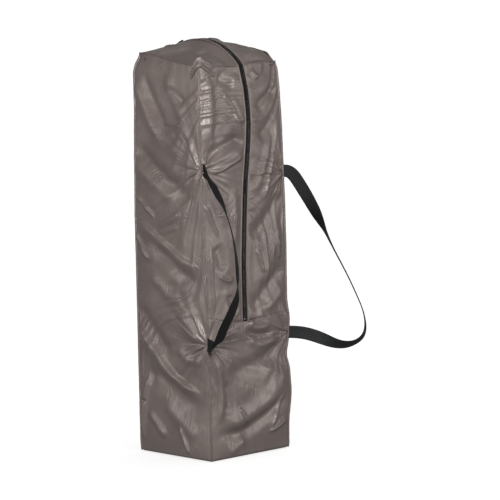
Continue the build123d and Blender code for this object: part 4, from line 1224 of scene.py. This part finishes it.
# ---------------------------------------------------------------- inside the bag
def mattress_pieces():
    """Six padded segments with crowned faces and a piped edge all round."""
    for number in range(1, 7):
        low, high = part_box(f"mattress_pad_{number}")
        size = high - low
        bm = bmesh.new()
        bm.loops.layers.uv.new("UVMap")
        bmesh.ops.create_cube(bm, size=1.0)
        bmesh.ops.scale(bm, vec=size, verts=bm.verts[:])
        thin = 0 if size.x < size.y else 1
        bmesh.ops.bevel(bm, geom=bm.edges[:], offset=0.004, segments=2, affect="EDGES", profile=0.5,
            material=-1)
        for direction, count in ((2, 30), (1 - thin, 8)):
            for k in range(1, count):
                no = Vector((0, 0, 0))
                no[direction] = 1
                at = no * (size[direction] * (k / count - 0.5))
                bmesh.ops.bisect_plane(bm, geom=bm.verts[:] + bm.edges[:] + bm.faces[:],
                    plane_co=at, plane_no=no)
        for v in bm.verts:
            a = min(abs(v.co[1 - thin]) / (size[1 - thin] / 2), 1)
            b = min(abs(v.co.z) / (size.z / 2), 1)
            crown = (1 - a**4) * (1 - b**6)
            quilt = 0.5 + 0.5 * math.cos(v.co.z * 2 * math.pi / 0.15)
            inset = 0.0018 * (1 - crown) + 0.0009 * (1 - quilt) * crown
            v.co[thin] -= math.copysign(min(inset, abs(v.co[thin])), v.co[thin])
        bmesh.ops.translate(bm, vec=(low + high) / 2, verts=bm.verts[:])
        uv = bm.loops.layers.uv.verify()
        for f in bm.faces:
            for loop in f.loops:
                loop[uv].uv = (loop.vert.co[1 - thin], loop.vert.co.z)
        piece = place_piece(f"mattress_pad_{number}.cover", bm, "padded cover cloth",
            "bag")
        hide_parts(f"mattress_pad_{number}")


def band(name, node, finish, low_z, high_z, inset, wave):
    """A closed band of cloth round the folded frame or the mattress."""
    low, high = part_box(node)
    centre = (low + high) / 2
    half = (high - low) / 2
    corner, pleats = 0.012, 34
    around = []
    for cx, cy, start in ((1, 1, 0), (-1, 1, 90), (-1, -1, 180), (1, -1, 270)):
        for k in range(7):
            a = math.radians(start + 15 * k)
            around.append((cx * (half.x - inset - corner) + corner * math.cos(a),
                cy * (half.y - inset - corner) + corner * math.sin(a)))
    ring = np.array(around + around[:1])
    flat_ring = np.column_stack([ring, np.zeros(len(ring))])
    even, at = resample_closed(flat_ring, 0.006)
    rows = max(int((high_z - low_z) / 0.02), 1)
    bm = bmesh.new()
    uv = bm.loops.layers.uv.new("UVMap")
    bmesh.ops.create_grid(bm, x_segments=len(even) - 1, y_segments=rows, size=1.0)
    place = {}
    for v in bm.verts:
        i = round((v.co.x + 1) / 2 * (len(even) - 1))
        j = round((v.co.y + 1) / 2 * rows)
        place[v] = (i, j)
    for f in bm.faces:
        for loop in f.loops:
            i, j = place[loop.vert]
            loop[uv].uv = (at[i], low_z + (high_z - low_z) * j / rows)
    for v, (i, j) in place.items():
        z = low_z + (high_z - low_z) * j / rows
        p = even[i % (len(even) - 1)]
        n = Vector((p[0], p[1], 0)).normalized()
        drift = 3 * noise.noise(Vector((0, 0, z * 6)))
        pleat = wave * math.sin(at[i] * 2 * math.pi / at[-1] * pleats + drift)
        inward = wave - pleat
        v.co = Vector((centre.x + p[0] - n.x * inward, centre.y + p[1] - n.y * inward, z))
    bmesh.ops.remove_doubles(bm, verts=bm.verts[:], dist=1e-5)
    bmesh.ops.recalc_face_normals(bm, faces=bm.faces[:])
    piece = place_piece(name, bm, finish, "bag")
    thick = piece.modifiers.new("Cloth thickness", "SOLIDIFY")
    thick.thickness = 0.001
    thick.offset = -1
    return piece


def resample_closed(points, step):
    """A closed line at an even step, without smoothing, and the distances along it."""
    length = np.concatenate([[0], np.cumsum(np.linalg.norm(np.diff(points, axis=0), axis=1))])
    count = max(int(round(length[-1] / step)), 8)
    at = np.linspace(0, length[-1], count + 1)
    out = np.stack([np.interp(at, length, points[:, k]) for k in range(3)], 1)
    return out, at


def inner_cloth():
    """The playpen's own walls gathered round the frame, the mattress straps and the loop that
    is pulled to fold the floor."""
    low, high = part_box("side_fabric")
    sleeve = band("side_fabric.gathered", "side_fabric", "soft woven polyester",
        low.z, high.z, 0.0005, 0.0018)
    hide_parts("side_fabric")
    low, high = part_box("mattress_straps")
    first = band("mattress_straps.low", "mattress_straps", "polypropylene webbing",
        low.z, low.z + 0.03, 0.0001, 0.0)
    band("mattress_straps.high", "mattress_straps", "polypropylene webbing",
        high.z - 0.03, high.z, 0.0001, 0.0)
    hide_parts("mattress_straps")
    low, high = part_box("hub_pull_loop")
    x0, x1, y = low.x + 0.0008, high.x - 0.0008, (low.y + high.y) / 2
    half = (x1 - x0) / 2
    points = [(x0, y, low.z + (high.z - half - low.z) * k / 8) for k in range(9)]
    points += [((x0 + x1) / 2 - half * math.cos(math.pi * k / 12), y,
        high.z - half - 0.0008 + half * math.sin(math.pi * k / 12)) for k in range(1, 12)]
    points += [(x1, y, high.z - half - (high.z - half - low.z) * k / 8) for k in range(9)]
    path, tangent, at = resample(np.array(points), 0.004)
    lateral = np.tile(np.array([0.0, 1.0, 0.0]), (len(path), 1))
    normal = np.cross(lateral, tangent)
    bm = sweep(path, lateral, normal, stadium(0.025, 0.0015))
    piece = place_piece("hub_pull_loop.webbing", bm, "polypropylene webbing", "bag")
    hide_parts("hub_pull_loop")


def finish_frame_nodes():
    """Gives every CAD node that stays its real finish."""
    slots = {row["node"]: row["material_slot"] for row in frame["record"]["subparts"]}
    for name, obj in frame["nodes"].items():
        obj.data.materials.clear()
        obj.data.materials.append(material(FINISH_OF_SLOT[slots[name]]))


# ---------------------------------------------------------------- stage
def area_light(name, place, target, size, power):
    """A white softbox that faces the target."""
    data = bpy.data.lights.new(name, "AREA")
    data.shape = "RECTANGLE"
    data.size, data.size_y = size
    data.energy = power
    made = bpy.data.objects.new(name, data)
    bpy.context.scene.collection.objects.link(made)
    made.location = place
    made.rotation_euler = (Vector(target) - Vector(place)).to_track_quat("-Z", "Y").to_euler()
    return made


def make_stage(settings):
    """The floor, the world, the softboxes and the camera."""
    scene = bpy.context.scene
    bm = bmesh.new()
    bmesh.ops.create_grid(bm, x_segments=2, y_segments=2, size=90.0)
    mesh = bpy.data.meshes.new("Floor")
    bm.to_mesh(mesh)
    bm.free()
    floor = bpy.data.objects.new("Floor", mesh)
    scene.collection.objects.link(floor)
    made, _, shader = new_material("pale studio floor")
    shader.inputs["Base Color"].default_value = linear("#f6f6f6")
    shader.inputs["Roughness"].default_value = 0.9
    shader.inputs["Specular IOR Level"].default_value = 0.1
    shader.inputs["Emission Color"].default_value = (1, 1, 1, 1)
    shader.inputs["Emission Strength"].default_value = settings.floor_glow
    mesh.materials.append(made)
    # The floor sheet is lit on its own, and doesn't fill in the shading of the cloth.
    floor.visible_diffuse = floor.visible_glossy = False
    unlit = bpy.data.collections.new("Not lit by the softboxes")
    unlit.objects.link(floor)
    unlit.collection_objects[0].light_linking.link_state = "EXCLUDE"

    world = bpy.data.worlds.new("Studio")
    scene.world = world
    world.use_nodes = True
    world.node_tree.nodes["Background"].inputs[0].default_value = (1, 1, 1, 1)
    world.node_tree.nodes["Background"].inputs[1].default_value = settings.fill

    azimuth = math.radians(settings.azimuth)
    back = Vector((math.sin(azimuth), -math.cos(azimuth), 0))
    right = Vector((math.cos(azimuth), math.sin(azimuth), 0))
    up = Vector((0, 0, 1))
    middle = Vector((0, 0, 0.42))
    for name, place, size, share in (
        ("Key softbox", back * 2.7 - right * 0.1 + up * 0.9, (0.5, 0.7), 1.0),
        ("Left softbox", back * 1.6 - right * 2.4 + up * 0.3, (0.5, 1.4), 0.28),
        ("Right softbox", back * 1.4 + right * 2.5 + up * 0.3, (0.5, 1.4), 0.32),
    ):
        lamp = area_light(name, middle + place, middle, size, settings.key * share)
        lamp.light_linking.receiver_collection = unlit
    overhead = bpy.data.lights.new("Overhead", "SUN")
    overhead.energy = settings.overhead
    overhead.angle = math.radians(30)
    lamp = bpy.data.objects.new("Overhead", overhead)
    scene.collection.objects.link(lamp)
    lamp.rotation_euler = (right * 0.16 - back * 0.1 + up).to_track_quat("Z", "Y").to_euler()

    data = bpy.data.cameras.new("Camera")
    data.lens = settings.lens
    data.sensor_width = 36.0
    camera = bpy.data.objects.new("Camera", data)
    scene.collection.objects.link(camera)
    eye = back * settings.distance + up * settings.eye_height
    aim = Vector((0, 0, 0.41)) + right * settings.aim_right - up * settings.aim_down
    turn = (aim - eye).to_track_quat("-Z", "Y").to_matrix().to_4x4()
    roll = Matrix.Rotation(math.radians(settings.roll), 4, "Z")
    camera.matrix_world = Matrix.Translation(eye) @ turn @ roll
    scene.camera = camera
    scene.view_settings.view_transform = "Standard"


# ---------------------------------------------------------------- add-on
def colour_property(name, description, code):
    """A colour that the user can change."""
    return FloatVectorProperty(name=name, description=description, default=linear(code)[:3],
        subtype="COLOR", size=3, min=0, max=1)


class PlaypenBagSettings(bpy.types.PropertyGroup):
    """Sizes and colours of the carry bag."""

    cloth_colour: colour_property("Cloth", "Main colour of the bag", "#4e4643")
    cloth_shade: colour_property("Cloth, darker", "Where the dye took more", "#48403e")
    cloth_light: colour_property("Cloth, lighter", "Where the dye took less", "#554d4a")
    webbing_colour: colour_property("Webbing", "Colour of the handles", "#060708")
    # Painted highlight: the lighter colour painted on the tops of the handles' ribs.
    webbing_light: colour_property("Webbing ribs", "Colour on top of the ribs", "#0e0f11")
    cut_across: FloatProperty(name="Cut size across", description="Cloth's width over the load's",
        default=1.014)
    cut_up: FloatProperty(name="Cut size up", description="Cloth's height over the load's",
        default=1.010)
    cloth_thickness: FloatProperty(name="Cloth thickness", description="Coated taffeta",
        default=0.0006, unit="LENGTH", precision=4)
    webbing_width: FloatProperty(name="Webbing width", description="Width of the handles",
        default=0.025, unit="LENGTH")
    webbing_thickness: FloatProperty(name="Webbing thickness",
        description="Thickness of the handles", default=0.0016, unit="LENGTH", precision=4)


class PlaypenStageSettings(bpy.types.PropertyGroup):
    """Where the camera stands and how bright the studio is."""

    azimuth: FloatProperty(name="Azimuth", description="Degrees round the bag", default=-41.0)
    distance: FloatProperty(name="Distance", description="From the bag to the camera", default=5.85,
        unit="LENGTH")
    eye_height: FloatProperty(name="Eye height", description="Camera above the floor", default=1.15,
        unit="LENGTH")
    aim_right: FloatProperty(name="Aim to the right", description="Aim beside the bag",
        default=0.072, unit="LENGTH")
    aim_down: FloatProperty(name="Aim down", description="Aim below mid-height", default=0.010,
        unit="LENGTH")
    lens: FloatProperty(name="Lens", description="Focal length in millimetres", default=213.5)
    roll: FloatProperty(name="Roll", description="Camera roll in degrees", default=-1.4)
    key: FloatProperty(name="Key light", description="Power in watts", default=122.0)
    fill: FloatProperty(name="Fill", description="Brightness of the studio", default=0.26)
    floor_glow: FloatProperty(name="Floor glow", description="Light from below the floor sheet",
        default=0.74)
    overhead: FloatProperty(name="Overhead light", description="Strength of the light from above",
        default=0.28)


PATHS = {}  # the settled panels, from which the seams and the zip are made


def settled_panels():
    """The panels' paths, or an error where the cloth isn't made yet."""
    if not PATHS:
        raise RuntimeError("The bag's cloth has to be made first")
    return PATHS


class PLAYPEN_OT_cloth(bpy.types.Operator):
    """Make the bag's cloth panels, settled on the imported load"""

    bl_idname = "playpen.cloth"
    bl_label = "Bag cloth"

    def execute(self, context):
        bm, names = whole_bag()
        bm = simulate(bm)
        mesh = smooth_refine(bm)
        PATHS.update(split_panels(mesh, names))
        bpy.data.meshes.remove(mesh)
        return {"FINISHED"}


class PLAYPEN_OT_seams(bpy.types.Operator):
    """Make the seams and the gathers at the top corners"""

    bl_idname = "playpen.seams"
    bl_label = "Seams and gathers"

    def execute(self, context):
        corner_seam_pieces(settled_panels())
        corner_gathers(settled_panels())
        return {"FINISHED"}


class PLAYPEN_OT_zip(bpy.types.Operator):
    """Make the zip's tapes, coils, hems, stitches and stops"""

    bl_idname = "playpen.zip"
    bl_label = "Zip"

    def execute(self, context):
        zip_pieces(settled_panels())
        return {"FINISHED"}


class PLAYPEN_OT_handles(bpy.types.Operator):
    """Make the two webbing handles"""

    bl_idname = "playpen.handles"
    bl_label = "Handles"

    def execute(self, context):
        webbing_handle("handle_left", "left_handle", -1, -110.0, LEFT_ROUTE, ((0, 0), (0.04, 10),
            (0.10, 60), (0.19, 56), (0.26, 30), (0.34, 22), (0.44, 14), (0.50, 8), (0.54, 12),
            (0.58, 32), (0.63, 62), (0.72, 75), (0.88, 72), (0.95, 40), (0.985, 5), (1, 0)))
        webbing_handle("handle_right", "right_handle", 1, -42.0, RIGHT_ROUTE, ((0, 0), (0.12, 8),
            (0.20, 30), (0.28, 76), (0.34, 84), (0.62, 88), (0.74, 80), (0.80, 55), (0.88, 15), (1,
            0)))
        return {"FINISHED"}


class PLAYPEN_OT_frame(bpy.types.Operator):
    """Give the folded frame and the zip's slider their finishes"""

    bl_idname = "playpen.frame"
    bl_label = "Folded frame"

    def execute(self, context):
        finish_frame_nodes()
        return {"FINISHED"}


class PLAYPEN_OT_mattress(bpy.types.Operator):
    """Make the six padded segments of the mattress"""

    bl_idname = "playpen.mattress"
    bl_label = "Mattress"

    def execute(self, context):
        mattress_pieces()
        return {"FINISHED"}


class PLAYPEN_OT_walls(bpy.types.Operator):
    """Make the gathered walls, the mattress straps and the pull loop"""

    bl_idname = "playpen.walls"
    bl_label = "Walls and straps"

    def execute(self, context):
        inner_cloth()
        return {"FINISHED"}


class PLAYPEN_OT_stage(bpy.types.Operator):
    """Make the floor, lights and camera"""

    bl_idname = "playpen.stage"
    bl_label = "Stage"

    def execute(self, context):
        make_stage(context.scene.playpen_stage)
        return {"FINISHED"}


class PLAYPEN_PT_panel(bpy.types.Panel):
    """The playpen's settings and pieces"""

    bl_label = "Packed playpen"
    bl_idname = "PLAYPEN_PT_panel"
    bl_space_type = "VIEW_3D"
    bl_region_type = "UI"
    bl_category = "Playpen"

    def draw(self, context):
        layout = self.layout
        for group in (context.scene.playpen_bag, context.scene.playpen_stage):
            for name in group.bl_rna.properties.keys():
                if name not in ("rna_type", "name"):
                    layout.prop(group, name)
        for each in OPERATORS:
            layout.operator(each.bl_idname)


# In the order in which the pieces are made.
OPERATORS = (PLAYPEN_OT_frame, PLAYPEN_OT_mattress, PLAYPEN_OT_walls, PLAYPEN_OT_cloth,
    PLAYPEN_OT_seams, PLAYPEN_OT_zip, PLAYPEN_OT_handles, PLAYPEN_OT_stage)
CLASSES = (PlaypenBagSettings, PlaypenStageSettings, *OPERATORS, PLAYPEN_PT_panel)


def register():
    """Registers the classes and the settings."""
    for each in CLASSES:
        bpy.utils.register_class(each)
    bpy.types.Scene.playpen_bag = PointerProperty(type=PlaypenBagSettings)
    bpy.types.Scene.playpen_stage = PointerProperty(type=PlaypenStageSettings)


def unregister():
    """Removes what register() added."""
    del bpy.types.Scene.playpen_stage
    del bpy.types.Scene.playpen_bag
    for each in reversed(CLASSES):
        bpy.utils.unregister_class(each)


def main():
    """Makes everything in order."""
    register()
    for each in OPERATORS:
        getattr(bpy.ops.playpen, each.bl_idname.split(".")[1])()


if __name__ == "__main__":
    main()
